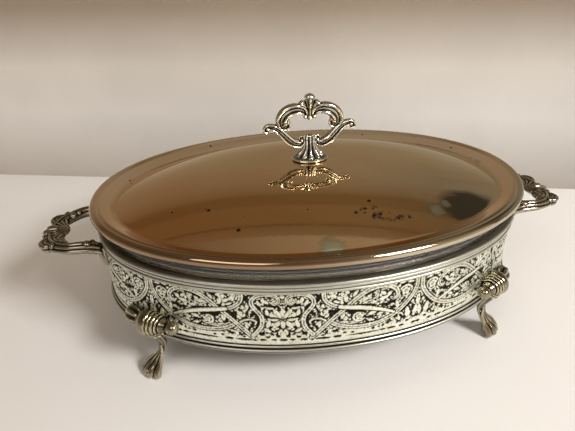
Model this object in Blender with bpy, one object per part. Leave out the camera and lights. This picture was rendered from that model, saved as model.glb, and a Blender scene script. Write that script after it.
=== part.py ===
"""Oval covered serving dish: a footed gallery stand, a glass liner and a domed lid.

Lengths are millimetres until the meshes are made, the long axis is X, the front is -Y, and
the feet stand on Z = 0.  Everything oval is an offset of one reference oval, the outer face
of the gallery wall, so neighbouring pieces nest with an even gap.
"""
import math

import bmesh
import bpy
from mathutils import Matrix, Vector

MM = 0.001                      # metres in a millimetre
GAP = 0.3                       # clearance between pieces that touch

# ---------------------------------------------------------------- driving dimensions
WALL_A, WALL_B = 145.0, 97.5    # half length and half width of the gallery wall's outer face
OVAL_POWER = 2.06               # a hair fuller than an ellipse
OVAL_STEPS = 52                 # points round every oval
WALL_THICKNESS = 1.2
WALL_BOTTOM, WALL_TOP = 34.5, 80.9

FOOT_ANGLE = math.radians(41.5)  # place of a foot on the oval, from the X axis
FOOT_SCREW_Z = 45.0
HANDLE_Y = 24.0                 # half spacing of the arms of an end handle
HANDLE_SCREW_Z = 70.0
SCREW_R, SCREW_HOLE_R = 1.5, 1.8
SCREW_REACH = 5.5               # how far a screw goes into its casting

RIM_OVERHANG = 4.6              # the lid's edge beyond the gallery wall
VALLEY_W, VALLEY_Z = 16.6, 94.7  # the groove round the dome: width in from the edge, height
DOME_RISE = 19.8
DOME_POWER = 2.5
LID_THICKNESS = 1.2
LID_HOLE_R = 2.0
DOME_SCALES = (0.95, 0.86, 0.7, 0.45, 0.14)

STUD_R, STUD_HOLE_R = 1.5, 1.8
WASHER_R, WASHER_THICKNESS = 6.0, 1.0
NUT_R, NUT_THICKNESS = 3.2, 2.4
PEDESTAL_HOLE_TOP = 122.2

DOME_TOP = VALLEY_Z + DOME_RISE
DOME_A = WALL_A + RIM_OVERHANG - VALLEY_W
DOME_B = WALL_B + RIM_OVERHANG - VALLEY_W
HANDLE_BASE_Z = DOME_TOP + GAP
CASTING_TURN = [2 * math.pi * i / 12 for i in range(12)]    # angles round a foot's sections

# Closed section outlines, (offset from the wall's outer face, height).
TOP_RIM_SECTION = [
    (-6.2, 81.2), (0.3, 81.2), (0.3, 75.4), (1.2, 75.4), (1.7, 76.0), (1.6, 76.9),
    (1.0, 77.6), (1.0, 79.6), (1.6, 80.4), (1.9, 81.3), (1.5, 82.1), (0.6, 82.3),
    (-0.2, 81.9), (-6.2, 82.2),
]
BOTTOM_RIM_SECTION = [
    (-9.0, 33.0), (-9.0, 34.2), (0.3, 34.2), (0.3, 37.3), (1.0, 37.2), (1.5, 36.5),
    (1.4, 35.5), (1.6, 34.8), (2.2, 34.2), (2.2, 33.2), (1.6, 32.6), (-8.4, 32.6),
]
LINER_OUTSIDE = [
    (-27.0, 37.0), (-21.0, 37.5), (-16.2, 40.0), (-13.6, 44.5), (-7.0, 82.5), (-2.8, 82.5),
    (-2.2, 83.1), (-2.2, 95.1), (-2.7, 95.9), (-3.6, 96.1),
]
LINER_INSIDE = [
    (-4.6, 95.7), (-5.5, 94.4), (-6.5, 88.0), (-9.0, 83.5), (-11.2, 79.0), (-17.0, 47.5),
    (-20.4, 42.6), (-26.0, 41.0),
]
# Lid edge, (width in from the edge, height), top face then underside.
LID_EDGE_TOP = [
    (0.7, 94.4), (0.0, 95.6), (0.2, 97.4), (1.3, 98.7), (3.2, 99.3), (6.4, 98.7),
    (11.2, 96.2), (13.6, 95.2),
]
LID_EDGE_UNDER = [
    (13.4, 94.0), (10.9, 95.1), (6.0, 97.6), (3.4, 98.0), (2.0, 97.2), (1.5, 94.7),
]
# The space the stand's ring takes up, with clearance: the castings are trimmed against it.
STAND_ENVELOPE = [
    (-16.0, 32.3), (2.5, 32.3), (2.5, 37.6), (0.3, 37.6), (0.3, 75.1), (2.2, 75.1),
    (2.2, 84.0), (-16.0, 84.0),
]

# Cast foot in its own frame: s along the wall, r out from it, z up.
KNEE_SECTION = [                # (s, r, z, radius) along the knee, volute end to ball end
    (-21.3, 0.9, 42.2, 1.8), (-19.2, 1.4, 42.4, 3.8), (-15.4, 2.2, 42.8, 4.9),
    (-11.5, 2.8, 43.3, 4.2), (-7.5, 3.6, 43.8, 6.0), (-2.5, 4.2, 44.4, 7.2),
    (2.5, 4.6, 45.0, 7.2), (7.0, 4.7, 45.6, 5.8), (10.8, 4.7, 46.2, 4.2),
    (13.4, 4.8, 46.8, 3.4), (16.6, 5.0, 47.4, 4.8), (20.0, 5.4, 48.1, 4.8),
    (22.8, 5.8, 48.6, 2.4),
]
LEG_SECTIONS = [                # (z, s, r of the middle, half width, half depth)
    (44.0, 0.0, 4.6, 6.6, 5.2), (36.0, 0.6, 3.6, 5.4, 4.6), (29.0, 1.2, 1.4, 3.8, 3.4),
    (20.0, 0.6, -0.9, 2.7, 2.5), (13.0, -1.4, -0.7, 2.8, 2.5), (8.0, -3.8, 0.6, 4.0, 3.0),
    (4.0, -5.8, 2.2, 5.8, 3.8), (1.4, -6.8, 3.2, 7.0, 4.5), (0.0, -6.8, 3.2, 6.5, 4.0),
]

# Cast end handle at +X: middle line of one arm from the wall to the crest, with radii.
ARM_LINE = [
    (142.8, 24.2, 71.5, 4.2), (147.0, 25.2, 74.4, 4.5), (154.5, 25.6, 75.4, 4.3),
    (163.0, 25.0, 75.2, 4.1), (171.0, 20.6, 74.2, 4.2), (176.6, 13.6, 73.4, 4.4),
    (179.4, 4.8, 73.0, 4.4),
]
CREST_LUMPS = [                 # (x, y, z, radius along x, y and z)
    (178.6, 0.0, 73.0, 7.0, 11.0, 4.8), (176.6, 12.0, 73.4, 6.4, 8.0, 4.6),
    (176.6, -12.0, 73.4, 6.4, 8.0, 4.6),
]
LUG_LUMP = (5.6, 2.9, 8.2)      # radii of the leaf on the wall: along it, out of it, up

# Cast lid handle in the XZ plane.
LOOP_LINE = [                   # right half of the loop, bottom to top, (x, z, radius)
    (0.0, 126.2, 2.7), (8.0, 126.2, 2.4), (14.6, 129.4, 2.4), (18.6, 134.6, 2.5),
    (20.0, 141.2, 2.7), (18.6, 146.8, 2.7), (14.6, 150.0, 2.7), (9.5, 151.0, 2.7),
    (4.2, 150.2, 2.8), (0.0, 149.4, 3.0),
]
CURL_LINE = [(19.4, 134.6, 2.2), (25.0, 138.6, 2.0), (28.6, 137.6, 2.4)]
HANDLE_LUMPS = [                # (x, z, radius along x, y and z)
    (0.0, 153.6, 2.9, 3.6, 6.4), (5.9, 152.2, 2.9, 3.2, 4.6), (-5.9, 152.2, 2.9, 3.2, 4.6),
    (0.0, 146.4, 2.6, 2.8, 4.0), (16.6, 141.0, 3.0, 2.6, 3.0), (-16.6, 141.0, 3.0, 2.6, 3.0),
    (5.2, 128.6, 2.4, 2.6, 2.8), (-5.2, 128.6, 2.4, 2.6, 2.8),
]
PEDESTAL_SECTIONS = [           # (z, half width along x, half width along y)
    (HANDLE_BASE_Z, 12.4, 9.2), (HANDLE_BASE_Z + 1.3, 12.4, 9.2), (117.6, 9.0, 7.0),
    (120.2, 6.2, 5.4), (123.5, 4.8, 4.2), (127.5, 4.2, 3.4), (131.8, 3.9, 2.9),
]


# ---------------------------------------------------------------- materials
def material(name, colour, metallic, roughness, transmission=0.0):
    made = bpy.data.materials.new(name)
    made.use_nodes = True
    made.diffuse_color = (*colour, 1.0)
    shader = made.node_tree.nodes["Principled BSDF"]
    shader.inputs["Base Color"].default_value = (*colour, 1.0)
    shader.inputs["Metallic"].default_value = metallic
    shader.inputs["Roughness"].default_value = roughness
    shader.inputs["Transmission Weight"].default_value = transmission
    return made


# ---------------------------------------------------------------- mesh helpers
def oval_ring(offset, z, steps=OVAL_STEPS):
    """Points round the reference oval grown by offset, at height z."""
    return scaled_ring(WALL_A + offset, WALL_B + offset, z, steps)


def scaled_ring(a, b, z, steps=OVAL_STEPS, power=OVAL_POWER):
    """Points round an oval with half axes a and b."""
    points = []
    for i in range(steps):
        angle = 2 * math.pi * i / steps
        c, s = math.cos(angle), math.sin(angle)
        x = a * math.copysign(abs(c) ** (2 / power), c)
        y = b * math.copysign(abs(s) ** (2 / power), s)
        points.append(Vector((x, y, z)))
    return points


def loft(rings, closed=False):
    """A bmesh through equal rings of points: closed joins last to first, else it is capped."""
    bm = bmesh.new()
    loops = [[bm.verts.new(point) for point in ring] for ring in rings]
    pairs = list(zip(loops, loops[1:]))
    if closed:
        pairs.append((loops[-1], loops[0]))
    for lower, upper in pairs:
        for i in range(len(lower)):
            j = (i + 1) % len(lower)
            bm.faces.new((lower[i], lower[j], upper[j], upper[i]))
    if not closed:
        bm.faces.new(list(reversed(loops[0])))
        bm.faces.new(loops[-1])
    return bm


def band(section):
    """A ring round the oval with the given closed section."""
    return loft([oval_ring(offset, z) for offset, z in section], closed=True)


def spline(points, per_span=3, closed=False):
    """Catmull-Rom through points of any length, as tuples."""
    count = len(points)
    spans = count if closed else count - 1
    out = []
    for k in range(spans):
        if closed:
            p = [points[(k + d) % count] for d in (-1, 0, 1, 2)]
        else:
            p = [points[min(max(k + d, 0), count - 1)] for d in (-1, 0, 1, 2)]
        for step in range(per_span):
            t = step / per_span
            out.append(tuple(
                0.5 * (2 * b + (c - a) * t + (2 * a - 5 * b + 4 * c - d) * t * t
                       + (3 * b - a - 3 * c + d) * t ** 3)
                for a, b, c, d in zip(*p)))
    if not closed:
        out.append(tuple(points[-1]))
    return out


def tube(line, up, sides=8, closed=False):
    """A round bar along (x, y, z, radius) points; up steers the rings so they don't twist."""
    rings = []
    count = len(line)
    for k, (x, y, z, radius) in enumerate(line):
        if closed:
            before, after = line[k - 1], line[(k + 1) % count]
        else:
            before, after = line[max(k - 1, 0)], line[min(k + 1, count - 1)]
        tangent = (Vector(after[:3]) - Vector(before[:3])).normalized()
        first = (up - tangent * up.dot(tangent)).normalized()
        second = tangent.cross(first)
        ring = []
        for i in range(sides):
            angle = 2 * math.pi * i / sides
            ring.append(Vector((x, y, z)) + (first * math.cos(angle) + second * math.sin(angle)) * radius)
        rings.append(ring)
    return loft(rings, closed=closed)


def lump(centre, radii, turns=8, rows=6):
    """An ellipsoid."""
    bm = bmesh.new()
    matrix = Matrix.Translation(centre) @ Matrix.Diagonal((*radii, 1.0))
    bmesh.ops.create_uvsphere(bm, u_segments=turns, v_segments=rows, radius=1.0, matrix=matrix)
    return bm


def turned(section, place, sides=10):
    """A solid turned about place's own Z axis from (height, radius) points."""
    rings = []
    for height, radius in section:
        ring = []
        for i in range(sides):
            angle = 2 * math.pi * i / sides
            ring.append(place @ Vector((radius * math.cos(angle), radius * math.sin(angle), height)))
        rings.append(ring)
    return loft(rings)


def plain_object(name, bm):
    """Turns a bmesh in millimetres into an object in metres, faces out."""
    bmesh.ops.scale(bm, vec=(MM, MM, MM), verts=bm.verts)
    bmesh.ops.recalc_face_normals(bm, faces=bm.faces)
    mesh = bpy.data.meshes.new(name)
    bm.to_mesh(mesh)
    bm.free()
    made = bpy.data.objects.new(name, mesh)
    bpy.context.scene.collection.objects.link(made)
    return made


def apply_boolean(target, tool_bm, operation):
    """Joins a shape to target or cuts it out, and leaves the result as target's own mesh."""
    tool = plain_object("tool", tool_bm)
    step = target.modifiers.new("step", "BOOLEAN")
    step.operation = operation
    step.solver = "EXACT"
    step.object = tool
    graph = bpy.context.evaluated_depsgraph_get()
    result = bpy.data.meshes.new_from_object(target.evaluated_get(graph))
    target.modifiers.clear()
    old = target.data
    target.data = result
    result.name = target.name
    bpy.data.meshes.remove(old)
    tool_mesh = tool.data
    bpy.data.objects.remove(tool)
    bpy.data.meshes.remove(tool_mesh)


def finish(target, slot, smooth_angle=50.0):
    """Gives the object its material and smooth shading, and puts it under the root."""
    target.data.materials.clear()
    target.data.materials.append(slot)
    target.data.shade_smooth()
    target.data.set_sharp_from_angle(angle=math.radians(smooth_angle))
    target.parent = ROOT
    return target


def wall_frame(angle):
    """A frame on the wall's outer face: X along the wall, Y out of it, Z up, at Z = 0."""
    c, s = math.cos(angle), math.sin(angle)
    x = WALL_A * math.copysign(abs(c) ** (2 / OVAL_POWER), c)
    y = WALL_B * math.copysign(abs(s) ** (2 / OVAL_POWER), s)
    normal = Vector((math.copysign(abs(x / WALL_A) ** (OVAL_POWER - 1), x) / WALL_A,
                     math.copysign(abs(y / WALL_B) ** (OVAL_POWER - 1), y) / WALL_B, 0)).normalized()
    along = Vector((-normal.y, normal.x, 0))
    frame = Matrix((along, normal, Vector((0, 0, 1)))).transposed().to_4x4()
    frame.translation = (x, y, 0)
    return frame


def screw_place(frame, s, z):
    """A frame whose Z axis runs out of the wall through (s, z)."""
    return frame @ Matrix.Translation((s, 0, z)) @ Matrix.Rotation(-math.pi / 2, 4, "X")


# ---------------------------------------------------------------- the stand
def make_stand():
    wall = plain_object("gallery_band", band([
        (0.0, WALL_BOTTOM), (0.0, WALL_TOP), (-WALL_THICKNESS, WALL_TOP),
        (-WALL_THICKNESS, WALL_BOTTOM)]))
    for _, place in screw_places():
        hole = [(-WALL_THICKNESS - 2.0, SCREW_HOLE_R), (2.0, SCREW_HOLE_R)]
        apply_boolean(wall, turned(hole, place), "DIFFERENCE")
    finish(wall, SILVER)
    finish(plain_object("top_rim", band(TOP_RIM_SECTION)), SILVER)
    finish(plain_object("bottom_rim", band(BOTTOM_RIM_SECTION)), SILVER)


def corner_names():
    return [(f"{front}_{side}", sx, sy) for front, sy in (("front", -1), ("back", 1))
            for side, sx in (("left", -1), ("right", 1))]


def corner_angle(sx, sy):
    return math.atan2(sy * math.sin(FOOT_ANGLE), sx * math.cos(FOOT_ANGLE))


def handle_angle(sx, sy):
    """Angle on the oval of the point at Y = HANDLE_Y, in the corner's own quadrant."""
    sine = (HANDLE_Y / WALL_B) ** (OVAL_POWER / 2)
    return math.atan2(sy * sine, sx * math.sqrt(1 - sine * sine))


def screw_places():
    """Every screw through the wall: (name, frame)."""
    places = []
    for corner, sx, sy in corner_names():
        places.append((f"foot_screw_{corner}",
                       screw_place(wall_frame(corner_angle(sx, sy)), 0, FOOT_SCREW_Z)))
        places.append((f"handle_screw_{corner}",
                       screw_place(wall_frame(handle_angle(sx, sy)), 0, HANDLE_SCREW_Z)))
    return places


def make_screws():
    under_head = -WALL_THICKNESS - GAP
    section = [
        (under_head - 1.7, 1.2), (under_head - 1.3, 2.3), (under_head - 0.5, 2.9),
        (under_head, 2.9), (under_head + 0.01, SCREW_R), (SCREW_REACH - 0.5, SCREW_R),
        (SCREW_REACH, SCREW_R - 0.5),
    ]
    for name, place in screw_places():
        finish(plain_object(name, turned(section, place)), STEEL, 40)


def screw_bore(place):
    return turned([(-4.0, SCREW_HOLE_R), (SCREW_REACH + 0.5, SCREW_HOLE_R)], place)


def make_feet():
    for corner, sx, sy in corner_names():
        frame = wall_frame(corner_angle(sx, sy))
        # the knee's ball end points to the middle of the long side
        toward_middle = -1 if sx * sy > 0 else 1
        turn = frame @ Matrix.Diagonal((-toward_middle, 1, 1, 1))
        rings = []
        for s, middle, z, radius in KNEE_SECTION:
            rings.append([turn @ Vector((s, middle + radius * math.cos(a), z + radius * math.sin(a)))
                          for a in CASTING_TURN])
        foot = plain_object(f"foot_{corner}", loft(rings))
        rings = []
        for z, s, middle, half_width, half_depth in LEG_SECTIONS:
            rings.append([turn @ Vector((s + half_width * math.cos(a),
                                         middle + half_depth * math.sin(a), z))
                          for a in CASTING_TURN])
        apply_boolean(foot, loft(rings), "UNION")
        apply_boolean(foot, band(STAND_ENVELOPE), "DIFFERENCE")
        apply_boolean(foot, screw_bore(screw_place(frame, 0, FOOT_SCREW_Z)), "DIFFERENCE")
        finish(foot, CASTING)


def make_end_handles():
    for side, sx in (("left", -1), ("right", 1)):
        half = [(sx * x, y, z, r) for x, y, z, r in ARM_LINE]
        line = half + [(x, -y, z, r) for x, y, z, r in reversed(half)]
        handle = plain_object(f"end_handle_{side}",
                              tube(spline(line, 2), Vector((0, 0, 1)), sides=8))
        for x, y, z, *radii in CREST_LUMPS:
            apply_boolean(handle, lump((sx * x, y, z), radii), "UNION")
        for sy in (-1, 1):
            place = wall_frame(handle_angle(sx, sy))
            leaf = lump((0, 0, 0), LUG_LUMP)
            bmesh.ops.transform(
                leaf, matrix=place @ Matrix.Translation((0, 1.2, HANDLE_SCREW_Z + 1.0)),
                verts=leaf.verts)
            apply_boolean(handle, leaf, "UNION")
        apply_boolean(handle, band(STAND_ENVELOPE), "DIFFERENCE")
        for sy in (-1, 1):
            place = screw_place(wall_frame(handle_angle(sx, sy)), 0, HANDLE_SCREW_Z)
            apply_boolean(handle, screw_bore(place), "DIFFERENCE")
        finish(handle, CASTING)


# ---------------------------------------------------------------- the liner
def make_liner():
    rings = [oval_ring(offset, z) for offset, z in LINER_OUTSIDE + LINER_INSIDE]
    finish(plain_object("glass_liner", loft(rings)), GLASS)


# ---------------------------------------------------------------- the lid
def dome_height(scale):
    return VALLEY_Z + DOME_RISE * (1 - scale ** DOME_POWER)


def make_lid():
    rings = [oval_ring(RIM_OVERHANG - w, z) for w, z in LID_EDGE_TOP]
    rings.append(scaled_ring(DOME_A, DOME_B, VALLEY_Z))
    rings += [scaled_ring(DOME_A * k, DOME_B * k, dome_height(k)) for k in DOME_SCALES]
    hole_rise = dome_height(LID_HOLE_R / DOME_B)
    rings.append(scaled_ring(LID_HOLE_R, LID_HOLE_R, hole_rise, power=2.0))
    rings.append(scaled_ring(LID_HOLE_R, LID_HOLE_R, hole_rise - LID_THICKNESS, power=2.0))
    rings += [scaled_ring(DOME_A * k, DOME_B * k, dome_height(k) - LID_THICKNESS)
              for k in reversed(DOME_SCALES)]
    rings.append(scaled_ring(DOME_A, DOME_B, VALLEY_Z - LID_THICKNESS))
    rings += [oval_ring(RIM_OVERHANG - w, z) for w, z in LID_EDGE_UNDER]
    finish(plain_object("lid_shell", loft(rings, closed=True)), COPPERED)


def make_lid_handle():
    half = [(x, 0.0, z, r) for x, z, r in LOOP_LINE]
    line = half + [(-x, y, z, r) for x, y, z, r in reversed(half[1:-1])]
    handle = plain_object("lid_handle",
                          tube(spline(line, 2, closed=True), Vector((0, 1, 0)), closed=True))
    for sx in (-1, 1):
        curl = spline([(sx * x, 0.0, z, r) for x, z, r in CURL_LINE], 2)
        apply_boolean(handle, tube(curl, Vector((0, 1, 0))), "UNION")
    for x, z, *radii in HANDLE_LUMPS:
        apply_boolean(handle, lump((x, 0, z), radii), "UNION")
    pedestal = [scaled_ring(a, b, z, 20, 2.0) for z, a, b in PEDESTAL_SECTIONS]
    apply_boolean(handle, loft(pedestal), "UNION")
    bore = [(HANDLE_BASE_Z - 2, STUD_HOLE_R), (PEDESTAL_HOLE_TOP, STUD_HOLE_R)]
    apply_boolean(handle, turned(bore, Matrix.Identity(4)), "DIFFERENCE")
    finish(handle, BRIGHT)


def make_lid_fasteners():
    under = DOME_TOP - LID_THICKNESS - GAP
    washer_bottom = under - WASHER_THICKNESS
    nut_top = washer_bottom - GAP
    stud = [(nut_top - NUT_THICKNESS - 1.6, STUD_R - 0.4), (nut_top - NUT_THICKNESS - 1.2, STUD_R),
            (PEDESTAL_HOLE_TOP - 0.9, STUD_R), (PEDESTAL_HOLE_TOP - 0.5, STUD_R - 0.4)]
    finish(plain_object("lid_handle_stud", turned(stud, Matrix.Identity(4))), STEEL, 40)
    for name, outer, sides, top, thickness in (
            ("lid_handle_washer", WASHER_R, 24, under, WASHER_THICKNESS),
            ("lid_handle_nut", NUT_R, 6, nut_top, NUT_THICKNESS)):
        rings = []
        for radius, z in ((outer, top), (outer, top - thickness),
                          (STUD_HOLE_R, top - thickness), (STUD_HOLE_R, top)):
            rings.append(scaled_ring(radius, radius, z, sides, 2.0))
        finish(plain_object(name, loft(rings, closed=True)), STEEL, 40)


# ---------------------------------------------------------------- build
for existing in list(bpy.data.objects):
    bpy.data.objects.remove(existing)

SILVER = material("silver_plate", (0.66, 0.63, 0.55), 1.0, 0.32)
CASTING = material("cast_nickel_silver", (0.50, 0.44, 0.34), 1.0, 0.35)
BRIGHT = material("bright_casting", (0.70, 0.67, 0.60), 1.0, 0.25)
COPPERED = material("worn_silver_on_copper", (0.58, 0.40, 0.26), 1.0, 0.18)
GLASS = material("clear_glass", (0.80, 0.84, 0.82), 0.0, 0.03, 1.0)
STEEL = material("plated_steel", (0.42, 0.41, 0.38), 1.0, 0.40)

ROOT = bpy.data.objects.new("serving_dish", None)
bpy.context.scene.collection.objects.link(ROOT)

make_stand()
make_screws()
make_feet()
make_end_handles()
make_liner()
make_lid()
make_lid_handle()
make_lid_fasteners()
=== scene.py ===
"""Looks for the oval covered serving dish: relief, castings, glass, worn silver and the studio.

Design lengths are millimetres and become metres when a mesh is made.  The driving sizes come
from the frame; everything oval is an offset of the outer face of the gallery wall.
"""
import math

import bpy
import numpy as np
from mathutils import Matrix, Vector


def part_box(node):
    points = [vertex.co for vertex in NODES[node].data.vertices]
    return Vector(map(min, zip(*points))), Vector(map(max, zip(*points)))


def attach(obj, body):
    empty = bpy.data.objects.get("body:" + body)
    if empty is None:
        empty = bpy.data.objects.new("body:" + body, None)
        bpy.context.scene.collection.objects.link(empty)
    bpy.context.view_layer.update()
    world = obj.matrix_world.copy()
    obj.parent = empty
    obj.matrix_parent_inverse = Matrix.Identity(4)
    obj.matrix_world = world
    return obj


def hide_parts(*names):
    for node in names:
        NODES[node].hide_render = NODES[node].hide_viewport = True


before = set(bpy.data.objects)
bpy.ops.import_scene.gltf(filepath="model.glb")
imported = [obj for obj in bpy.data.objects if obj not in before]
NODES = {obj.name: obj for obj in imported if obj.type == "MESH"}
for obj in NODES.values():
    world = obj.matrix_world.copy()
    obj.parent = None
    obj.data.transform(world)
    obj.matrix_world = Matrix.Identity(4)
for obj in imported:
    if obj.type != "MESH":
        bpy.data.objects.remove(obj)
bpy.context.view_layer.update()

MM = 0.001
OVAL_POWER = 2.06
CORNERS = [(f"{front}_{side}", sx, sy) for front, sy in (("front", -1), ("back", 1))
           for side, sx in (("left", -1), ("right", 1))]


def node_box_mm(name):
    low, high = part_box(name)
    return np.array(low) / MM, np.array(high) / MM


WALL_LOW, WALL_HIGH = node_box_mm("gallery_band")
WALL_A, WALL_B = WALL_HIGH[0], WALL_HIGH[1]
LID_HIGH = node_box_mm("lid_shell")[1]
DOME_TOP = LID_HIGH[2]
HANDLE_BASE_Z = node_box_mm("lid_handle")[0][2]
VALLEY_W, VALLEY_Z = 16.6, 94.7
BRIM_W = 16.4                   # width of the brim and valley, which the lid's shader tells from the dome
DOME_POWER = 2.5
DOME_A, DOME_B = LID_HIGH[0] - VALLEY_W, LID_HIGH[1] - VALLEY_W
LID_THICKNESS = 1.2
LID_HOLE_R = 2.0
WALL_THICKNESS = 1.2
FOOT_ANGLE = math.radians(41.5)
HANDLE_Y = 24.0
VOXEL = 0.32


# ---------------------------------------------------------------- mesh helpers
def mesh_object(name, points, faces):
    """An object from points in millimetres and equal-sided faces, both arrays."""
    points = np.asarray(points, np.float32).reshape(-1, 3) * MM
    faces = np.asarray(faces, np.int32)
    mesh = bpy.data.meshes.new(name)
    mesh.vertices.add(len(points))
    mesh.vertices.foreach_set("co", points.ravel())
    mesh.loops.add(faces.size)
    mesh.loops.foreach_set("vertex_index", faces.ravel())
    mesh.polygons.add(len(faces))
    mesh.polygons.foreach_set("loop_start", np.arange(0, faces.size, faces.shape[1], dtype=np.int32))
    mesh.update(calc_edges=True)
    mesh.validate()
    mesh.shade_smooth()
    made = bpy.data.objects.new(name, mesh)
    bpy.context.scene.collection.objects.link(made)
    return made


def grid_faces(rows, columns, wrap_rows, wrap_columns=False):
    """Quads over a rows by columns grid of points; rows run up, columns run anticlockwise."""
    r = np.arange(rows if wrap_rows else rows - 1)
    c = np.arange(columns if wrap_columns else columns - 1)
    r, c = np.meshgrid(r, c, indexing="ij")
    r2, c2 = (r + 1) % rows, (c + 1) % columns
    quads = np.stack([r * columns + c, r * columns + c2, r2 * columns + c2, r2 * columns + c], -1)
    return quads.reshape(-1, 4)


def closed_rings(rings):
    """Points and triangles of rings joined up, with a point to close each end."""
    rings = np.asarray(rings)
    count, sides = rings.shape[:2]
    quads = grid_faces(count, sides, False, True)
    around = np.arange(sides)
    after = (around + 1) % sides
    first, last = count * sides, count * sides + 1
    below = (count - 1) * sides
    triangles = np.vstack([quads[:, [0, 1, 2]], quads[:, [0, 2, 3]],
                           np.stack([np.full(sides, first), after, around], -1),
                           np.stack([np.full(sides, last), below + around, below + after], -1)])
    return np.vstack([rings.reshape(-1, 3), rings[0].mean(0), rings[-1].mean(0)]), triangles


def spline(points, per_span, closed=False):
    """Catmull-Rom through an array of points."""
    p = np.asarray(points, float)
    if closed:
        p = np.vstack([p[-1], p, p[0], p[1]])
    else:
        p = np.vstack([2 * p[0] - p[1], p, 2 * p[-1] - p[-2]])
    t = np.linspace(0, 1, per_span, endpoint=False)[:, None]
    out = []
    for a, b, c, d in zip(p, p[1:], p[2:], p[3:]):
        out.append(0.5 * (2 * b + (c - a) * t + (2 * a - 5 * b + 4 * c - d) * t * t
                          + (3 * b - a - 3 * c + d) * t ** 3))
    out = np.vstack(out)
    return out if closed else np.vstack([out, p[-2]])


def oval_points(a, b, z, angles, power=OVAL_POWER):
    c, s = np.cos(angles), np.sin(angles)
    x = a * np.sign(c) * np.abs(c) ** (2 / power)
    y = b * np.sign(s) * np.abs(s) ** (2 / power)
    return np.stack([x, y, np.broadcast_to(z, x.shape)], -1)


def oval_sweep(section, angles):
    """Rings for (offset from the wall, height) points."""
    return np.array([oval_points(WALL_A + d, WALL_B + d, z, angles) for d, z in section])


def full_turn(steps):
    return np.linspace(0, 2 * math.pi, steps, endpoint=False)


def shade_points(piece, values):
    """Stores the height that the silver's shader reads: 0 in a sunk line, 1 on a rubbed edge."""
    made = piece.data.attributes.new("relief", "FLOAT", "POINT")
    made.data.foreach_set("value", np.asarray(values, np.float32).ravel())


def band(name, section):
    """A closed section of (offset, height, shade) swept round the oval."""
    steps = 360
    rings = oval_sweep(section[:, :2], full_turn(steps))
    piece = mesh_object(name, rings, grid_faces(len(rings), steps, True, True))
    shade_points(piece, np.repeat(np.clip(section[:, 2], 0, 1), steps))
    return piece


def wall_frame(angle):
    """A frame on the wall's outer face: X along the wall, Y out of it, Z up, at Z = 0."""
    x, y, _ = oval_points(WALL_A, WALL_B, 0.0, np.array([angle]))[0]
    normal = Vector((math.copysign(abs(x / WALL_A) ** (OVAL_POWER - 1), x) / WALL_A,
                     math.copysign(abs(y / WALL_B) ** (OVAL_POWER - 1), y) / WALL_B, 0)).normalized()
    along = Vector((-normal.y, normal.x, 0))
    made = Matrix((along, normal, Vector((0, 0, 1)))).transposed().to_4x4()
    made.translation = (x, y, 0)
    return made


# ---------------------------------------------------------------- shader helpers
class Shader:
    """A short way to write the nodes of a material, or of a world."""

    def __init__(self, name, owner=None):
        self.material = owner or bpy.data.materials.new(name)
        self.material.use_nodes = True
        self.nodes = self.material.node_tree.nodes
        self.links = self.material.node_tree.links
        self.bsdf = self.nodes.get("Principled BSDF")
        self.place = None

    def node(self, kind, inputs=None, **settings):
        made = self.nodes.new(kind)
        for key, value in settings.items():
            setattr(made, key, value)
        for key, value in (inputs or {}).items():
            self.put(made.inputs[key], value)
        return made

    def put(self, socket, value):
        if isinstance(value, bpy.types.NodeSocket):
            self.links.new(value, socket)
        else:
            socket.default_value = value

    def set(self, **values):
        for key, value in values.items():
            self.put(self.bsdf.inputs[key.replace("_", " ")], value)

    def position(self, scale=1.0):
        """Object coordinates, which are metres in the shared frame."""
        if self.place is None:
            self.place = self.node("ShaderNodeTexCoord").outputs["Object"]
        if scale == 1.0:
            return self.place
        scale = scale if isinstance(scale, tuple) else (scale, scale, scale)
        return self.node("ShaderNodeMapping", {"Vector": self.place, "Scale": scale}).outputs[0]

    def noise(self, scale, detail, roughness=0.55, distortion=0.0, stretch=1.0):
        inputs = {"Vector": self.position(stretch), "Scale": scale, "Detail": detail,
                  "Roughness": roughness, "Distortion": distortion}
        return self.node("ShaderNodeTexNoise", inputs).outputs["Fac"]

    def ramp(self, value, stops):
        """Colour or grey from stops of (position, colour or number)."""
        made = self.node("ShaderNodeValToRGB", {"Fac": value})
        elements = made.color_ramp.elements
        while len(elements) < len(stops):
            elements.new(0.5)
        for element, (position, colour) in zip(elements, stops):
            element.position = position
            rgb = colour if isinstance(colour, tuple) else (colour, colour, colour)
            element.color = (*rgb, 1.0)
        return made.outputs["Color"]

    def mix(self, factor, a, b, blend="MIX"):
        made = self.node("ShaderNodeMix", data_type="RGBA", blend_type=blend)
        self.put(made.inputs[0], factor)
        for index, value in ((6, a), (7, b)):
            if isinstance(value, tuple) and len(value) == 3:
                value = (*value, 1.0)
            self.put(made.inputs[index], value)
        return made.outputs[2]

    def math(self, operation, a, b=0.0):
        made = self.node("ShaderNodeMath", operation=operation)
        self.put(made.inputs[0], a)
        self.put(made.inputs[1], b)
        return made.outputs[0]

    def swing(self, value, amount):
        """A 0 to 1 noise turned into one either side of zero."""
        return self.math("MULTIPLY", self.math("SUBTRACT", value, 0.5), amount)

    def rise(self, value, low, high, start=0.0, end=1.0):
        """Start to end as the value goes from low to high, held beyond them."""
        made = self.node("ShaderNodeMapRange", {"Value": value, "From Min": low, "From Max": high,
                                                "To Min": start, "To Max": end})
        return made.outputs["Result"]

    def attribute(self, name):
        return self.node("ShaderNodeAttribute", attribute_name=name).outputs["Fac"]

    def pointiness(self, low, high):
        """0 in hollows to 1 on ridges of a dense mesh."""
        return self.rise(self.node("ShaderNodeNewGeometry").outputs["Pointiness"], low, high)

    def bump(self, height, strength, distance):
        inputs = {"Height": height, "Strength": strength, "Distance": distance}
        self.set(Normal=self.node("ShaderNodeBump", inputs).outputs[0])


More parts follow.
